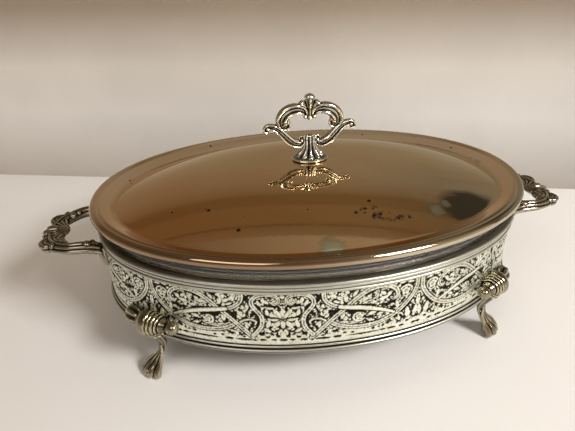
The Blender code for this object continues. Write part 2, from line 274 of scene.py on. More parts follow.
def relief_silver(name, scratch, bright, flecks=0.0):
    """Bright plate on the raised work, oxidised nearly black in the ground."""
    s = Shader(name)
    height = s.attribute("relief")
    tarnish = s.noise(48, 5, 0.6)
    fine = s.noise(900, 3, 0.6)
    vein = s.noise(620, 3, 0.6, 1.2)
    level = s.math("ADD", height, s.swing(tarnish, 0.22))
    level = s.math("ADD", level, s.swing(vein, flecks))
    middle = tuple(0.62 * part for part in bright)
    shade = s.ramp(level, [(0.12, (0.016, 0.014, 0.010)), (0.36, (0.09, 0.08, 0.055)),
                           (0.56, middle), (0.84, bright)])
    warm = s.mix(s.ramp(tarnish, [(0.48, 0.0), (0.78, 0.5)]), shade, (0.66, 0.60, 0.46), "MULTIPLY")
    s.set(Base_Color=warm, Metallic=0.93,
          Roughness=s.math("ADD", s.ramp(level, [(0.2, 0.60), (0.8, 0.24)]),
                           s.math("MULTIPLY", fine, 0.10)))
    s.bump(s.math("ADD", s.noise(scratch, 3), s.math("MULTIPLY", vein, 2 * flecks)), 0.10, 0.0003)
    return s.material


def casting_silver(name, bright, dark, wear_range, dull, polished):
    """Cast plate: dark tarnish in the hollows, rubbed bright on the ridges."""
    s = Shader(name)
    wear = s.pointiness(*wear_range)
    cloud = s.noise(90, 5, 0.6)
    level = s.math("ADD", wear, s.swing(cloud, 0.5))
    middle = tuple(0.5 * (p + q) for p, q in zip(bright, dark))
    colour = s.ramp(level, [(0.05, dark), (0.45, middle), (0.75, bright)])
    s.set(Base_Color=colour, Metallic=0.97,
          Roughness=s.ramp(level, [(0.1, dull), (0.8, polished)]))
    s.bump(s.noise(1100, 3), 0.03, 0.0002)
    return s.material


LID_PITS = [                    # (x, y, radius) of dark spots and clusters of specks, from above
    (-53.9, -64.9, 1.5), (-70.5, -45.1, 1.3), (-72.4, -43.0, 0.8), (-93.0, -38.5, 0.9), (26.4, -55.0, 1.4),
    (-68.4, 82.4, 1.2), (-45.0, 52.0, 0.7), (-12.0, -58.0, 0.6), (124.0, 42.0, 0.9), (118.0, 28.0, 0.7),
    (62.0, 84.0, 0.8), (-128.0, 30.0, 0.9)]
LID_PIT_CLUSTERS = [(26.0, -66.0, 3.6), (31.0, -66.6, 4.2), (36.5, -67.0, 4.0), (42.0, -67.4, 3.2),
                    (47.0, -68.0, 2.6), (21.5, -62.0, 3.4), (28.5, -61.0, 2.6), (16.0, -63.0, 2.2)]
LID_SMUDGES = [(-2.8, -84.6, 8.5), (67.5, -61.5, 6.8), (76.0, -56.0, 4.0)]
LID_HALF_WORN = 110.0           # the copper shows most at one end of the lid and least at the other


def coppered_lid():
    """Thin silver wearing through to copper, polished, with pits, spots and grey-green smudges; painted
    reflection and shade lighten the dome's back left, darken its front right, and make the brim darker
    towards the front and along the roll.
    """
    s = Shader("worn_silver_on_copper")
    cloud = s.noise(8, 5, 0.6, 0.4)
    wipe = s.noise(20, 5, 0.65, 1.6, stretch=(0.5, 1.0, 1.0))
    scuff = s.noise(160, 4, 0.7, 2.0, stretch=(0.35, 1.0, 1.0))
    split = s.node("ShaderNodeSeparateXYZ", {"Vector": s.position(1000.0)})
    x, y = split.outputs["X"], split.outputs["Y"]

    def spot(centre, radius, soft):
        """1 inside a round patch, seen from above."""
        dx, dy = s.math("SUBTRACT", x, centre[0]), s.math("SUBTRACT", y, centre[1])
        away = s.math("SQRT", s.math("ADD", s.math("MULTIPLY", dx, dx), s.math("MULTIPLY", dy, dy)))
        ragged = s.math("ADD", away, s.swing(scuff, 1.6 * radius))
        return s.rise(ragged, radius * (1 - soft), radius, 1.0, 0.0)

    def either(patches):
        total = patches[0]
        for patch in patches[1:]:
            total = s.math("MAXIMUM", total, patch)
        return total

    along = s.math("DIVIDE", x, 2 * LID_HALF_WORN)
    drift = s.math("ADD", s.math("ADD", along, 0.5), s.swing(cloud, 0.9))
    base = s.ramp(drift, [(0.0, (0.68, 0.42, 0.22)), (0.5, (0.73, 0.54, 0.32)), (1.0, (0.72, 0.61, 0.44))])
    wear_and_painted_light = s.mix(s.ramp(wipe, [(0.46, 0.0), (0.70, 0.5)]), base, (0.70, 0.40, 0.20))
    reach = s.attribute("relief")
    # Painted reflection: the dome is lightened towards pale copper at the back left.
    painted_reflection_back_left = s.math("MULTIPLY", s.rise(x, -30.0, -90.0), s.rise(y, -10.0, 30.0, 0.0, 0.5))
    wear_and_painted_light = s.mix(painted_reflection_back_left, wear_and_painted_light, (0.94, 0.78, 0.60))
    # Painted shade: the dome is darkened towards black at the front right.
    painted_shade_front_right = s.math("MULTIPLY", s.rise(x, 30.0, 80.0), s.rise(y, 0.0, -30.0, 0.0, 0.2))
    wear_and_painted_light = s.mix(painted_shade_front_right, wear_and_painted_light, (0.02, 0.015, 0.01))
    # Painted reflection and shade on the brim: lighter towards the back, darker towards the front, and darker
    # along the outer roll.
    brim = s.mix(s.rise(y, -50.0, 75.0), (0.78, 0.51, 0.33), (1.0, 0.86, 0.68))
    brim = s.mix(1.0, brim, s.rise(y, -96.0, -66.0, 0.50, 1.0), "MULTIPLY")
    brim = s.mix(1.0, brim, s.rise(reach, 0.62, 0.80, 1.0, 0.84), "MULTIPLY")
    turned_down = s.math("MULTIPLY", s.rise(reach, 0.76, 0.9), s.rise(x, -30.0, 60.0))
    turned_down = s.math("MULTIPLY", turned_down, s.rise(y, 10.0, -30.0))
    brim = s.mix(turned_down, brim, (0.50, 0.46, 0.36))
    # Painted shade: the roll and outer brim are darkened at the front left.
    painted_shade_front_left = s.math("MULTIPLY", s.rise(x, 20.0, -70.0), s.rise(y, -10.0, -45.0))
    painted_shade_front_left = s.math("MULTIPLY", painted_shade_front_left, s.rise(reach, 0.62, 0.78, 0.0, 0.62))
    brim = s.mix(painted_shade_front_left, brim, (0.26, 0.20, 0.13))
    streaks = s.math("MULTIPLY", s.ramp(s.noise(16, 5, 0.7, 0.6), [(0.50, 0.0), (0.56, 0.85)]),
                     s.ramp(reach, [(0.0, 0.0), (0.05, 1.0), (0.14, 0.9), (0.26, 0.0)]))
    brim = s.mix(streaks, brim, (0.42, 0.23, 0.13))
    wear_and_painted_light = s.mix(s.rise(reach, 0.0, 0.25, 0.0, 0.92), wear_and_painted_light, brim)
    speck = s.node("ShaderNodeTexVoronoi", {"Vector": s.position(), "Scale": 300.0}).outputs["Distance"]
    dots = s.ramp(s.math("ADD", speck, s.math("MULTIPLY", scuff, 0.3)), [(0.58, 1.0), (0.70, 0.0)])
    tiny = s.node("ShaderNodeTexVoronoi", {"Vector": s.position(), "Scale": 150.0}).outputs["Distance"]
    strewn = s.math("MULTIPLY", s.ramp(tiny, [(0.03, 1.0), (0.08, 0.0)]),
                    s.ramp(s.noise(35, 3), [(0.55, 0.0), (0.62, 1.0)]))
    clusters = s.math("MULTIPLY", dots, either([spot(c[:2], c[2], 0.6) for c in LID_PIT_CLUSTERS]))
    pits = either([clusters, strewn] + [spot(c[:2], c[2], 0.4) for c in LID_PITS])
    smudge = s.math("MULTIPLY", either([spot(c[:2], c[2], 0.5) for c in LID_SMUDGES]), 0.85)
    colour = s.mix(pits, wear_and_painted_light, (0.05, 0.032, 0.02))
    dull = s.mix(smudge, colour, (0.33, 0.34, 0.24))
    hairline = s.noise(26, 2, 0.5, 0.3, stretch=(1.0, 14.0, 1.0))
    hairlines = s.ramp(hairline, [(0.488, 0.0), (0.50, 1.0), (0.512, 0.0)])
    scratches = s.math("ADD", s.ramp(scuff, [(0.55, 0.0), (0.75, 1.0)]), hairlines)
    haze = s.math("ADD", s.ramp(wipe, [(0.35, 0.045), (0.8, 0.12)]), s.math("MULTIPLY", scratches, 0.05))
    s.set(Base_Color=dull, Metallic=1.0,
          Roughness=s.math("ADD", haze, s.math("MULTIPLY", s.math("MAXIMUM", pits, smudge), 0.35)))
    s.bump(s.math("SUBTRACT", s.noise(420, 3), s.math("MULTIPLY", pits, 1.5)), 0.05, 0.0003)
    return s.material


def clear_glass():
    s = Shader("clear_glass")
    s.set(Base_Color=(0.86, 0.85, 0.79, 1.0), Metallic=0.0, Roughness=0.03, IOR=1.5,
          Transmission_Weight=1.0)
    return s.material


def plated_steel():
    s = Shader("plated_steel")
    colour = s.ramp(s.noise(300, 4), [(0.3, (0.35, 0.34, 0.31)), (0.7, (0.52, 0.51, 0.48))])
    s.set(Base_Color=colour, Metallic=1.0, Roughness=0.38)
    return s.material


def wear_material(piece, material):
    piece.data.materials.clear()
    piece.data.materials.append(material)


def dress(piece, body, node, material):
    """A piece's look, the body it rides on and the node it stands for."""
    wear_material(piece, material)
    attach(piece, body)
    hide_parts(node)


# ---------------------------------------------------------------- the gallery's relief
HALF_REPEAT = 82.5              # the pattern mirrors every half repeat, along the wall
REPEAT_START = -33.5            # a rosette stands this far left of the front's middle
RELIEF_LOW, RELIEF_HIGH = 37.8, 76.4
RELIEF_STEP = 0.25
GROUND_OFFSET, RAISED_OFFSET = -0.42, 0.22
PLAIN_LEVEL = 0.84              # height of the plain border, above and below the pattern


class Relief:
    """Heights 0 to 1 over half a repeat: v along the wall from the rosette, z up."""

    def __init__(self):
        self.v_axis = np.arange(-6.0, HALF_REPEAT + 6.0, RELIEF_STEP)
        self.z_axis = np.arange(RELIEF_LOW, RELIEF_HIGH + RELIEF_STEP, RELIEF_STEP)
        self.v, self.z = np.meshgrid(self.v_axis, self.z_axis)
        self.height = np.zeros_like(self.v)

    def window(self, low, high):
        """Index slices for the box between two (v, z) corners."""
        i = np.searchsorted(self.z_axis, (low[1], high[1]))
        j = np.searchsorted(self.v_axis, (low[0], high[0]))
        return slice(i[0], i[1] + 1), slice(j[0], j[1] + 1)

    def lay(self, where, distance, radius, shape, moat=0.6):
        """Puts a shape down over what is there, with a cut line round it."""
        here = self.height[where]
        cut = np.clip((distance - radius) / moat, 0, 1)
        here *= np.where(distance < radius + moat, cut, 1.0)
        np.maximum(here, shape, out=here)

    def gaps(self, where, path):
        """Distances from every place in a window to every point of a path."""
        return np.hypot(self.v[where][..., None] - path[:, 0], self.z[where][..., None] - path[:, 1])

    def from_path(self, where, path, radii):
        """Distance to the nearest point of a path of varying radius, and the radius there."""
        gap = self.gaps(where, path)
        nearest = np.argmin(gap - radii, axis=-1)
        return np.take_along_axis(gap, nearest[..., None], -1)[..., 0], radii[nearest]

    def strap(self, points, radius, flat=False):
        """A band along points of (v, z); radius is one number or one for each point."""
        path = spline(points, 10)
        radii = np.interp(np.linspace(0, 1, len(path)),
                          np.linspace(0, 1, len(np.atleast_1d(radius))), np.atleast_1d(radius))
        reach = radii.max() + 1.5
        where = self.window(path.min(0) - reach, path.max(0) + reach)
        distance, width = self.from_path(where, path, radii)
        t = distance / width
        edge = np.clip((1 - t) / 0.2, 0, 1)
        if flat:
            crown = 0.92 - 0.25 * t ** 2
        else:
            crown = 0.50 + 0.50 * np.exp(-((t - 0.66) / 0.25) ** 4)
        self.lay(where, distance, width, edge * crown)

    def tendril(self, points, radius):
        """A round stem."""
        path = spline(points, 8)
        radii = np.interp(np.linspace(0, 1, len(path)), (0, 0.8, 1), (radius, radius, radius * 0.6))
        where = self.window(path.min(0) - radius - 1.2, path.max(0) + radius + 1.2)
        distance, width = self.from_path(where, path, radii)
        t = distance / width
        self.lay(where, distance, width, 0.9 * np.sqrt(np.clip(1 - t ** 2, 0, 1)), 0.4)

    def leaf(self, v, z, degrees, length, width, lobes=2.5):
        """A veined leaf from its base at (v, z), with a lobed edge."""
        a = math.radians(degrees)
        reach = length + 1
        where = self.window((v - reach, z - reach), (v + reach, z + reach))
        dv, dz = self.v[where] - v, self.z[where] - z
        along = (dv * math.cos(a) + dz * math.sin(a)) / length
        across = -dv * math.sin(a) + dz * math.cos(a)
        inside = np.clip(along, 0.0, 1.0)
        half = 0.5 * width * np.sin(np.pi * inside ** 0.8) ** 0.75
        half *= 1.12 - 0.24 * np.abs(np.sin(np.pi * lobes * inside))
        half = np.where((along > 0) & (along < 1), half, 0.0)
        distance = np.where(half > 0, np.abs(across) - half, 9.0)
        t = np.clip(np.abs(across) / np.maximum(half, 0.05), 0, 1)
        crown = np.clip((1 - t) / 0.25, 0, 1) * (1.0 - 0.35 * np.exp(-(across / 0.22) ** 2))
        shape = np.where(distance < 0, crown, 0.0)
        self.lay(where, distance, 0.0, shape, 0.35)

    def dot(self, v, z, radius, depth=None, stretch=1.0):
        """A bead, or with a depth, a sunk spot; stretch is its length over its height."""
        where = self.window((v - radius * stretch - 1, z - radius - 1),
                            (v + radius * stretch + 1, z + radius + 1))
        distance = np.hypot((self.v[where] - v) / stretch, self.z[where] - z)
        t = np.clip(distance / radius, 0, 1)
        if depth is None:
            self.lay(where, distance, radius, np.sqrt(1 - t ** 2), 0.4)
        else:
            self.height[where] *= 1 - depth * (1 - t ** 6)

    def cut(self, points, radius):
        """Sinks the ground along points of (v, z) to nothing."""
        path = spline(points, 6)
        radii = np.interp(np.linspace(0, 1, len(path)), (0, 0.5, 1), (0.35 * radius, radius, 0.35 * radius))
        where = self.window(path.min(0) - radius - 1, path.max(0) + radius + 1)
        gap = self.gaps(where, path) - radii
        self.height[where] *= np.clip(gap.min(-1) / 0.45, 0, 1)

    def trefoil(self, v, z, degrees, size):
        """Three short lobes."""
        for turn, share in ((-58, 0.8), (58, 0.8), (0, 1.0)):
            self.leaf(v, z, degrees + turn, size * share, size * 0.72 * share, 0)

    def flower(self, v, z, radius, petals=5):
        for k in range(petals):
            turn = 360.0 * k / petals + 90
            a = math.radians(turn)
            start = (v + 0.25 * radius * math.cos(a), z + 0.25 * radius * math.sin(a))
            self.leaf(*start, turn, 0.8 * radius, 0.95 * radius, 0)
        self.dot(v, z, 0.28 * radius)

    def fill(self, count, seed):
        """Small leaves and trefoils wherever the ground is still bare."""
        rng = np.random.default_rng(seed)
        reach = np.linspace(0.1, 1.0, 4)
        for _ in range(count):
            v, z = rng.uniform(-3, HALF_REPEAT + 3), rng.uniform(44.0, 75.0)
            turn, length = rng.uniform(0, 2 * math.pi), rng.uniform(1.8, 4.2)
            kind = rng.uniform()
            across = 0.16 * length * np.array([-1, 0, 1])
            tv = v + length * reach[:, None] * math.cos(turn) - across * math.sin(turn)
            tz = z + length * reach[:, None] * math.sin(turn) + across * math.cos(turn)
            column = np.clip((tv - self.v_axis[0]) / RELIEF_STEP, 0, len(self.v_axis) - 1).astype(int)
            row = np.clip((tz - self.z_axis[0]) / RELIEF_STEP, 0, len(self.z_axis) - 1).astype(int)
            if self.height[row, column].max() > 0.42:
                continue
            if kind < 0.55 or length < 2.6:
                self.leaf(v, z, math.degrees(turn), length, 0.66 * length, 1.5)
            else:
                self.trefoil(v, z, math.degrees(turn), length)

    def sample(self, along, z):
        """Heights at distances along the wall from the front's middle, at heights z."""
        v = np.abs(along - REPEAT_START) % (2 * HALF_REPEAT)
        v = np.where(v > HALF_REPEAT, 2 * HALF_REPEAT - v, v)
        column = (v - self.v_axis[0]) / RELIEF_STEP
        row = np.clip((z - self.z_axis[0]) / RELIEF_STEP, 0, len(self.z_axis) - 1.001)
        c, r = np.floor(column).astype(int), np.floor(row).astype(int)
        fc, fr = column - c, row - r
        h = self.height
        return ((h[r, c] * (1 - fc) + h[r, c + 1] * fc) * (1 - fr)
                + (h[r + 1, c] * (1 - fc) + h[r + 1, c + 1] * fc) * fr)


LEAVES = [                      # (v, z, degrees, length, width)
    # round the rosette
    (0.0, 57.4, 90, 8.4, 4.6), (1.2, 57.2, 62, 8.6, 3.8), (2.4, 57.0, 36, 8.4, 3.4),
    (2.4, 56.4, 8, 7.0, 2.8), (0.0, 56.2, -90, 6.4, 3.8), (1.8, 55.6, -55, 7.0, 3.4),
    (4.4, 53.6, -12, 6.0, 2.8), (9.2, 50.4, 105, 6.6, 3.0), (7.0, 47.2, 35, 5.4, 2.8),
    (1.2, 49.4, -78, 5.0, 3.2), (8.6, 59.2, 80, 5.4, 2.6), (9.4, 63.6, 105, 4.6, 2.6),
    (4.6, 45.4, 70, 5.6, 2.6), (2.0, 66.0, 60, 3.0, 2.0),
    # inside the volute
    (7.6, 68.6, 25, 5.4, 2.8), (10.6, 68.4, 78, 5.2, 2.6), (12.6, 65.6, 70, 6.0, 2.6),
    (5.0, 64.8, 12, 5.8, 2.6), (10.4, 65.8, -35, 4.0, 2.2),
    # between the volute and the diagonal
    (19.4, 57.4, 82, 6.2, 3.0), (23.4, 57.8, 60, 6.4, 3.0), (21.2, 62.4, 104, 6.2, 3.0),
    (25.2, 61.6, 42, 5.2, 2.6), (20.2, 67.2, 76, 6.0, 2.8), (28.0, 58.6, 40, 4.2, 2.0),
    (17.0, 59.0, 60, 4.6, 2.0), (19.0, 51.4, 40, 4.6, 2.4), (20.6, 48.4, 75, 5.0, 2.4),
    # between the long strap and the arch
    (26.6, 73.4, -38, 6.4, 3.0), (30.6, 70.8, -32, 6.0, 2.8), (33.6, 74.0, -70, 5.4, 2.6),
    (36.6, 66.2, 96, 7.0, 3.0), (40.4, 70.0, 52, 5.4, 2.4), (44.6, 73.2, 14, 5.4, 2.0),
    (29.0, 68.0, -22, 4.6, 2.0),
    # under the arch
    (43.6, 66.0, 12, 7.4, 3.2), (49.4, 67.2, 64, 5.4, 2.8), (50.6, 64.0, -10, 5.4, 2.6),
    (54.6, 65.4, 84, 7.0, 3.2), (56.2, 64.8, 12, 6.4, 3.0), (60.6, 67.6, 142, 4.8, 2.6),
    (61.6, 66.0, 60, 5.4, 2.8), (58.4, 62.2, -22, 5.8, 2.6), (64.2, 60.6, -52, 5.0, 2.6),
    # under the long strap
    (34.4, 54.2, 82, 6.4, 3.0), (33.2, 51.8, -6, 6.0, 2.4), (38.8, 55.2, 96, 4.8, 2.4),
    (39.0, 51.2, -16, 5.4, 2.2), (49.8, 55.0, 12, 6.0, 2.8), (49.6, 51.6, -22, 5.8, 2.6),
    (55.4, 53.2, 22, 5.4, 2.6), (57.8, 51.0, 4, 5.4, 2.0),
    # round the bud and the ring flower
    (68.3, 53.6, 92, 8.6, 3.4), (67.4, 55.4, 132, 5.0, 2.4), (69.4, 55.4, 52, 5.2, 2.4),
    (68.6, 73.6, 12, 5.2, 2.2), (73.4, 73.8, -10, 5.2, 2.0), (70.4, 61.4, 62, 4.6, 2.2),
    (73.8, 60.8, 72, 4.2, 2.0),
    # the trailing corner between two medallions
    (76.6, 46.0, 100, 9.6, 4.2), (73.4, 48.4, 140, 6.4, 3.0), (80.4, 46.4, 82, 9.0, 3.4),
    (82.5, 54.4, 90, 9.0, 3.4), (79.6, 56.4, 118, 5.0, 2.4), (67.0, 46.4, 120, 5.0, 2.4),
    (70.8, 45.4, 100, 5.4, 2.6), (82.5, 64.0, 90, 7.0, 1.8),
]
SUNK_SPOTS = [                  # (v, z, size, length over height) along the bottom border
    (0.6, 41.2, 0.55, 2.4), (5.4, 41.3, 0.5, 2.4), (12.2, 41.2, 0.6, 2.6), (23.4, 41.1, 0.55, 6.4),
    (32.2, 41.3, 0.7, 2.6), (48.6, 41.1, 0.35, 18.0), (60.2, 41.2, 0.55, 2.4),
    (65.8, 41.2, 0.6, 3.6), (72.6, 41.2, 0.6, 2.2), (81.0, 41.3, 0.6, 2.0),
    (9.2, 43.4, 0.6, 1.8), (12.6, 45.6, 0.8, 1.6), (23.2, 43.4, 0.5, 1.4), (25.6, 45.9, 0.6, 1.0),
    (30.4, 45.7, 0.7, 1.7), (41.2, 43.2, 0.4, 1.8), (54.0, 43.8, 0.6, 1.4), (57.6, 44.0, 0.5, 1.2),
    (60.2, 44.4, 0.5, 1.2), (63.2, 46.0, 0.8, 1.2), (69.6, 44.6, 0.6, 1.0), (76.2, 43.8, 0.7, 1.2),
    (3.0, 44.0, 0.6, 1.6), (17.0, 40.9, 0.4, 2.0), (36.4, 43.6, 0.5, 1.6),
]


GAPS = [                        # (points of (v, z), radius) where the ground is sunk deepest
    ([(14.6, 61.4), (14.4, 58.0), (14.0, 54.6), (15.2, 50.8), (17.4, 47.6)], 0.8),
    ([(15.6, 60.6), (17.6, 60.2), (18.6, 58.6)], 0.9),
    ([(26.8, 61.6), (29.2, 60.4), (32.6, 61.2)], 1.0), ([(27.2, 58.6), (28.8, 57.8), (31.4, 60.0)], 1.1),
    ([(20.4, 46.8), (22.6, 49.4), (25.2, 52.2)], 0.8), ([(18.4, 51.6), (19.8, 49.4), (20.2, 47.2)], 0.6),
    ([(34.2, 60.2), (38.0, 59.6), (43.0, 59.0), (48.6, 57.4)], 1.2), ([(38.0, 58.0), (42.0, 57.6)], 0.9),
    ([(58.6, 61.0), (62.0, 60.2), (66.4, 61.8)], 1.1), ([(64.8, 57.6), (67.0, 56.4)], 1.0),
    ([(70.4, 56.6), (74.6, 60.2), (77.6, 64.4), (78.6, 68.8)], 0.9),
    ([(42.8, 69.6), (46.6, 72.6), (51.6, 75.0)], 0.6), ([(38.4, 65.6), (41.2, 68.6)], 0.5),
    ([(31.0, 65.2), (35.0, 64.6), (38.0, 65.4)], 0.5), ([(36.6, 70.6), (40.4, 73.4), (44.6, 75.0)], 0.5),
    ([(31.0, 52.0), (34.6, 49.8), (40.0, 48.6), (47.0, 48.4), (54.0, 49.0), (60.0, 50.4),
      (65.4, 52.4)], 0.55),
    ([(60.6, 56.4), (63.4, 54.8), (66.2, 53.8)], 0.7), ([(47.4, 53.6), (51.0, 52.8), (55.4, 53.0)], 0.7),
    ([(2.2, 66.0), (4.4, 66.8), (7.6, 66.6), (10.4, 66.8)], 0.8), ([(1.4, 63.4), (2.2, 66.0)], 0.6),
    ([(12.8, 62.6), (13.6, 65.4), (15.4, 67.6)], 0.8), ([(18.6, 74.6), (20.6, 71.4), (20.0, 68.6)], 0.9),
    ([(21.6, 74.6), (22.0, 71.0), (23.8, 67.2)], 0.5),
    ([(0.0, 56.4), (3.4, 57.8), (7.4, 58.2), (10.6, 60.4)], 0.45),
    ([(2.6, 48.4), (5.6, 47.6), (8.6, 50.2)], 0.5), ([(11.0, 47.4), (12.8, 45.4), (13.8, 46.2)], 0.7),
    ([(19.2, 64.6), (20.4, 61.2), (19.8, 58.6)], 0.45), ([(43.6, 63.4), (49.0, 62.6), (54.6, 61.4)], 0.55),
    ([(62.4, 70.2), (65.0, 70.0), (66.4, 67.8)], 0.6), ([(48.0, 69.4), (50.8, 70.6), (54.4, 72.0)], 0.6),
    ([(71.6, 51.6), (73.6, 54.2), (76.2, 57.0), (78.8, 60.4)], 0.7), ([(82.5, 77.0), (82.5, 60.0)], 0.55),
    ([(70.8, 50.2), (72.6, 47.4)], 0.7), ([(78.6, 55.6), (79.4, 51.4)], 0.5),
    ([(61.4, 73.0), (64.0, 71.6)], 0.4)]


def make_relief():
    relief = Relief()
    relief.height[:] = 0.12 + 0.08 * np.sin(relief.v * 2.3 + relief.z) * np.sin(relief.z * 1.9 - relief.v)
    for leaf in LEAVES:
        relief.leaf(*leaf)
    relief.tendril([(26.2, 51.8), (24.6, 54.4), (21.4, 56.2), (17.8, 56.4), (15.6, 54.6), (16.4, 52.6)], 0.9)
    relief.tendril([(44.0, 66.4), (48.0, 65.0), (52.0, 65.4), (55.0, 68.0), (56.2, 71.4)], 0.6)
    relief.tendril([(31.4, 53.2), (36.0, 50.4), (41.0, 50.0), (46.0, 50.8), (49.2, 53.6)], 0.6)
    relief.tendril([(68.4, 62.0), (69.6, 64.0), (69.2, 67.4), (71.0, 70.4), (74.4, 71.0), (77.0, 68.8),
                    (76.8, 65.4), (74.0, 63.4), (71.0, 64.0)], 0.8)
    ring = [(45.0 + 3.7 * math.cos(a), 54.4 + 3.3 * math.sin(a)) for a in np.linspace(0.4, 5.9, 9)]
    relief.tendril(ring, 0.8)
    relief.flower(73.2, 67.3, 2.9)
    relief.flower(45.0, 54.4, 2.6)
    relief.flower(5.2, 70.4, 1.9, 4)
    relief.fill(9000, 7)
    for gap in GAPS:
        relief.cut(*gap)
    low_edge = 44.6 + 1.6 * np.clip(1 - ((relief.v - 47.0) / 20.0) ** 2, 0, 1)
    low_edge += 0.9 * np.sin(relief.v * 1.7) * np.sin(relief.v * 0.6)
    relief.height[:] = np.maximum(relief.height, PLAIN_LEVEL * np.clip((low_edge - relief.z) / 0.6, 0, 1))
    relief.strap([(80.7, 77.0), (80.7, 71.0), (79.8, 66.5), (77.2, 61.8), (73.2, 57.0), (68.8, 53.0),
                  (63.5, 50.0), (57.0, 47.8), (50.0, 46.8), (43.0, 47.0), (36.5, 48.3), (31.0, 50.6),
                  (28.0, 52.6)], 1.5)
    relief.strap([(16.6, 42.4), (20.5, 46.0), (25.0, 51.0), (29.0, 55.0), (33.0, 59.0), (36.5, 62.2)], 1.5)
    relief.strap([(7.0, 69.4), (4.8, 67.8), (2.3, 69.6), (2.9, 72.6), (6.4, 74.3), (11.0, 74.6),
                  (15.2, 73.2), (17.6, 70.0), (17.3, 66.4), (14.8, 62.8), (12.6, 59.4), (11.9, 55.6),
                  (12.6, 51.6), (14.6, 48.2), (17.6, 44.6)], (0.7, 1.0, 1.3, 1.4, 1.4, 1.4, 1.4, 1.4))
    relief.strap([(38.6, 64.4), (42.5, 68.0), (46.8, 71.3), (51.5, 73.5), (57.0, 74.3), (62.0, 73.5),
                  (66.0, 71.0), (68.1, 67.8), (67.9, 64.9), (65.8, 63.4), (64.0, 64.8)],
                 (1.5, 1.6, 1.7, 1.6, 1.5, 1.1, 0.8))
    relief.strap([(23.6, 77.0), (23.6, 71.4), (25.6, 67.6), (29.4, 64.8), (34.0, 63.0)], 1.4)
    relief.strap([(33.0, 63.3), (40.0, 61.9), (48.0, 60.3), (56.0, 57.9), (62.0, 55.5), (66.6, 53.1)],
                 (1.5, 1.7, 1.6, 1.5, 1.2, 0.9), flat=True)
    for v, z, half, stretch in SUNK_SPOTS:
        relief.dot(v, z, 1.2 * half + 0.2, 1.0, stretch)
    border = np.clip((relief.z - 75.3) / 0.5, 0, 1) * PLAIN_LEVEL
    relief.height = np.maximum(relief.height, border)
    ripple = 0.03 * np.sin(relief.v * 2.9) * np.sin(relief.z * 3.3 + relief.v)
    relief.height = np.clip(relief.height + ripple, 0, 1)
    h = np.pad(relief.height, 1, mode="edge")
    near = h[1:-1, :-2] + h[1:-1, 2:] + h[:-2, 1:-1] + h[2:, 1:-1]
    relief.height = 0.6 * relief.height + 0.1 * near
    return relief


def arc_table():
    """Angles on the wall's oval against distance along it from the front's middle."""
    angles = np.linspace(-1.5 * math.pi, 0.5 * math.pi, 40001)
    p = oval_points(WALL_A, WALL_B, 0.0, angles)
    along = np.concatenate([[0], np.cumsum(np.hypot(*np.diff(p[:, :2], axis=0).T))])
    return angles, along - np.interp(-0.5 * math.pi, angles, along)


def make_gallery(material):
    relief = make_relief()
    angles, along = arc_table()
    step = 0.36
    z_rows = np.concatenate([[WALL_LOW[2], 35.5, 36.6, 37.0, 37.5],
                             np.arange(RELIEF_LOW, RELIEF_HIGH, step), [76.6, 78.0, WALL_HIGH[2]]])
    edges = [-math.pi + FOOT_ANGLE, -FOOT_ANGLE, FOOT_ANGLE, math.pi - FOOT_ANGLE,
             math.pi + FOOT_ANGLE]
    for name, first, last in zip(("front", "right", "back", "left"), edges, edges[1:]):
        start = distance_at(first, angles, along)
        end = distance_at(last, angles, along)
        count = int(round((end - start) / step)) + 1
        distance = np.linspace(start, end, count)
        total = along[-1] - along[0]
        wrapped = (distance - along[0]) % total + along[0]
        turn = np.interp(wrapped, along, angles)
        level = relief.sample(wrapped[None, :] + 0 * z_rows[:, None], z_rows[:, None] + 0 * wrapped)
        level[(z_rows < RELIEF_LOW) | (z_rows > RELIEF_HIGH)] = PLAIN_LEVEL
        level[z_rows < 37.3] = 0.0
        offset = GROUND_OFFSET + (RAISED_OFFSET - GROUND_OFFSET) * level
        outer = np.array([oval_points(WALL_A + d, WALL_B + d, z, turn) for d, z in zip(offset, z_rows)])
        inner = np.array([oval_points(WALL_A - WALL_THICKNESS, WALL_B - WALL_THICKNESS, z, turn)
                          for z in (WALL_HIGH[2], WALL_LOW[2])])
        rows = np.concatenate([outer, inner])
        piece = mesh_object(f"gallery_relief_{name}", rows, grid_faces(len(rows), count, True))
        shade_points(piece, np.concatenate([level, np.full((2, count), 0.55)]))
        dress(piece, "stand", "gallery_band", material)


def distance_at(angle, angles, along):
    """Distance along the wall of an angle that may lie past the table's end."""
    total = along[-1] - along[0]
    turns = 0
    while angle > angles[-1]:
        angle -= 2 * math.pi
        turns += 1
    return np.interp(angle, angles, along) + turns * total


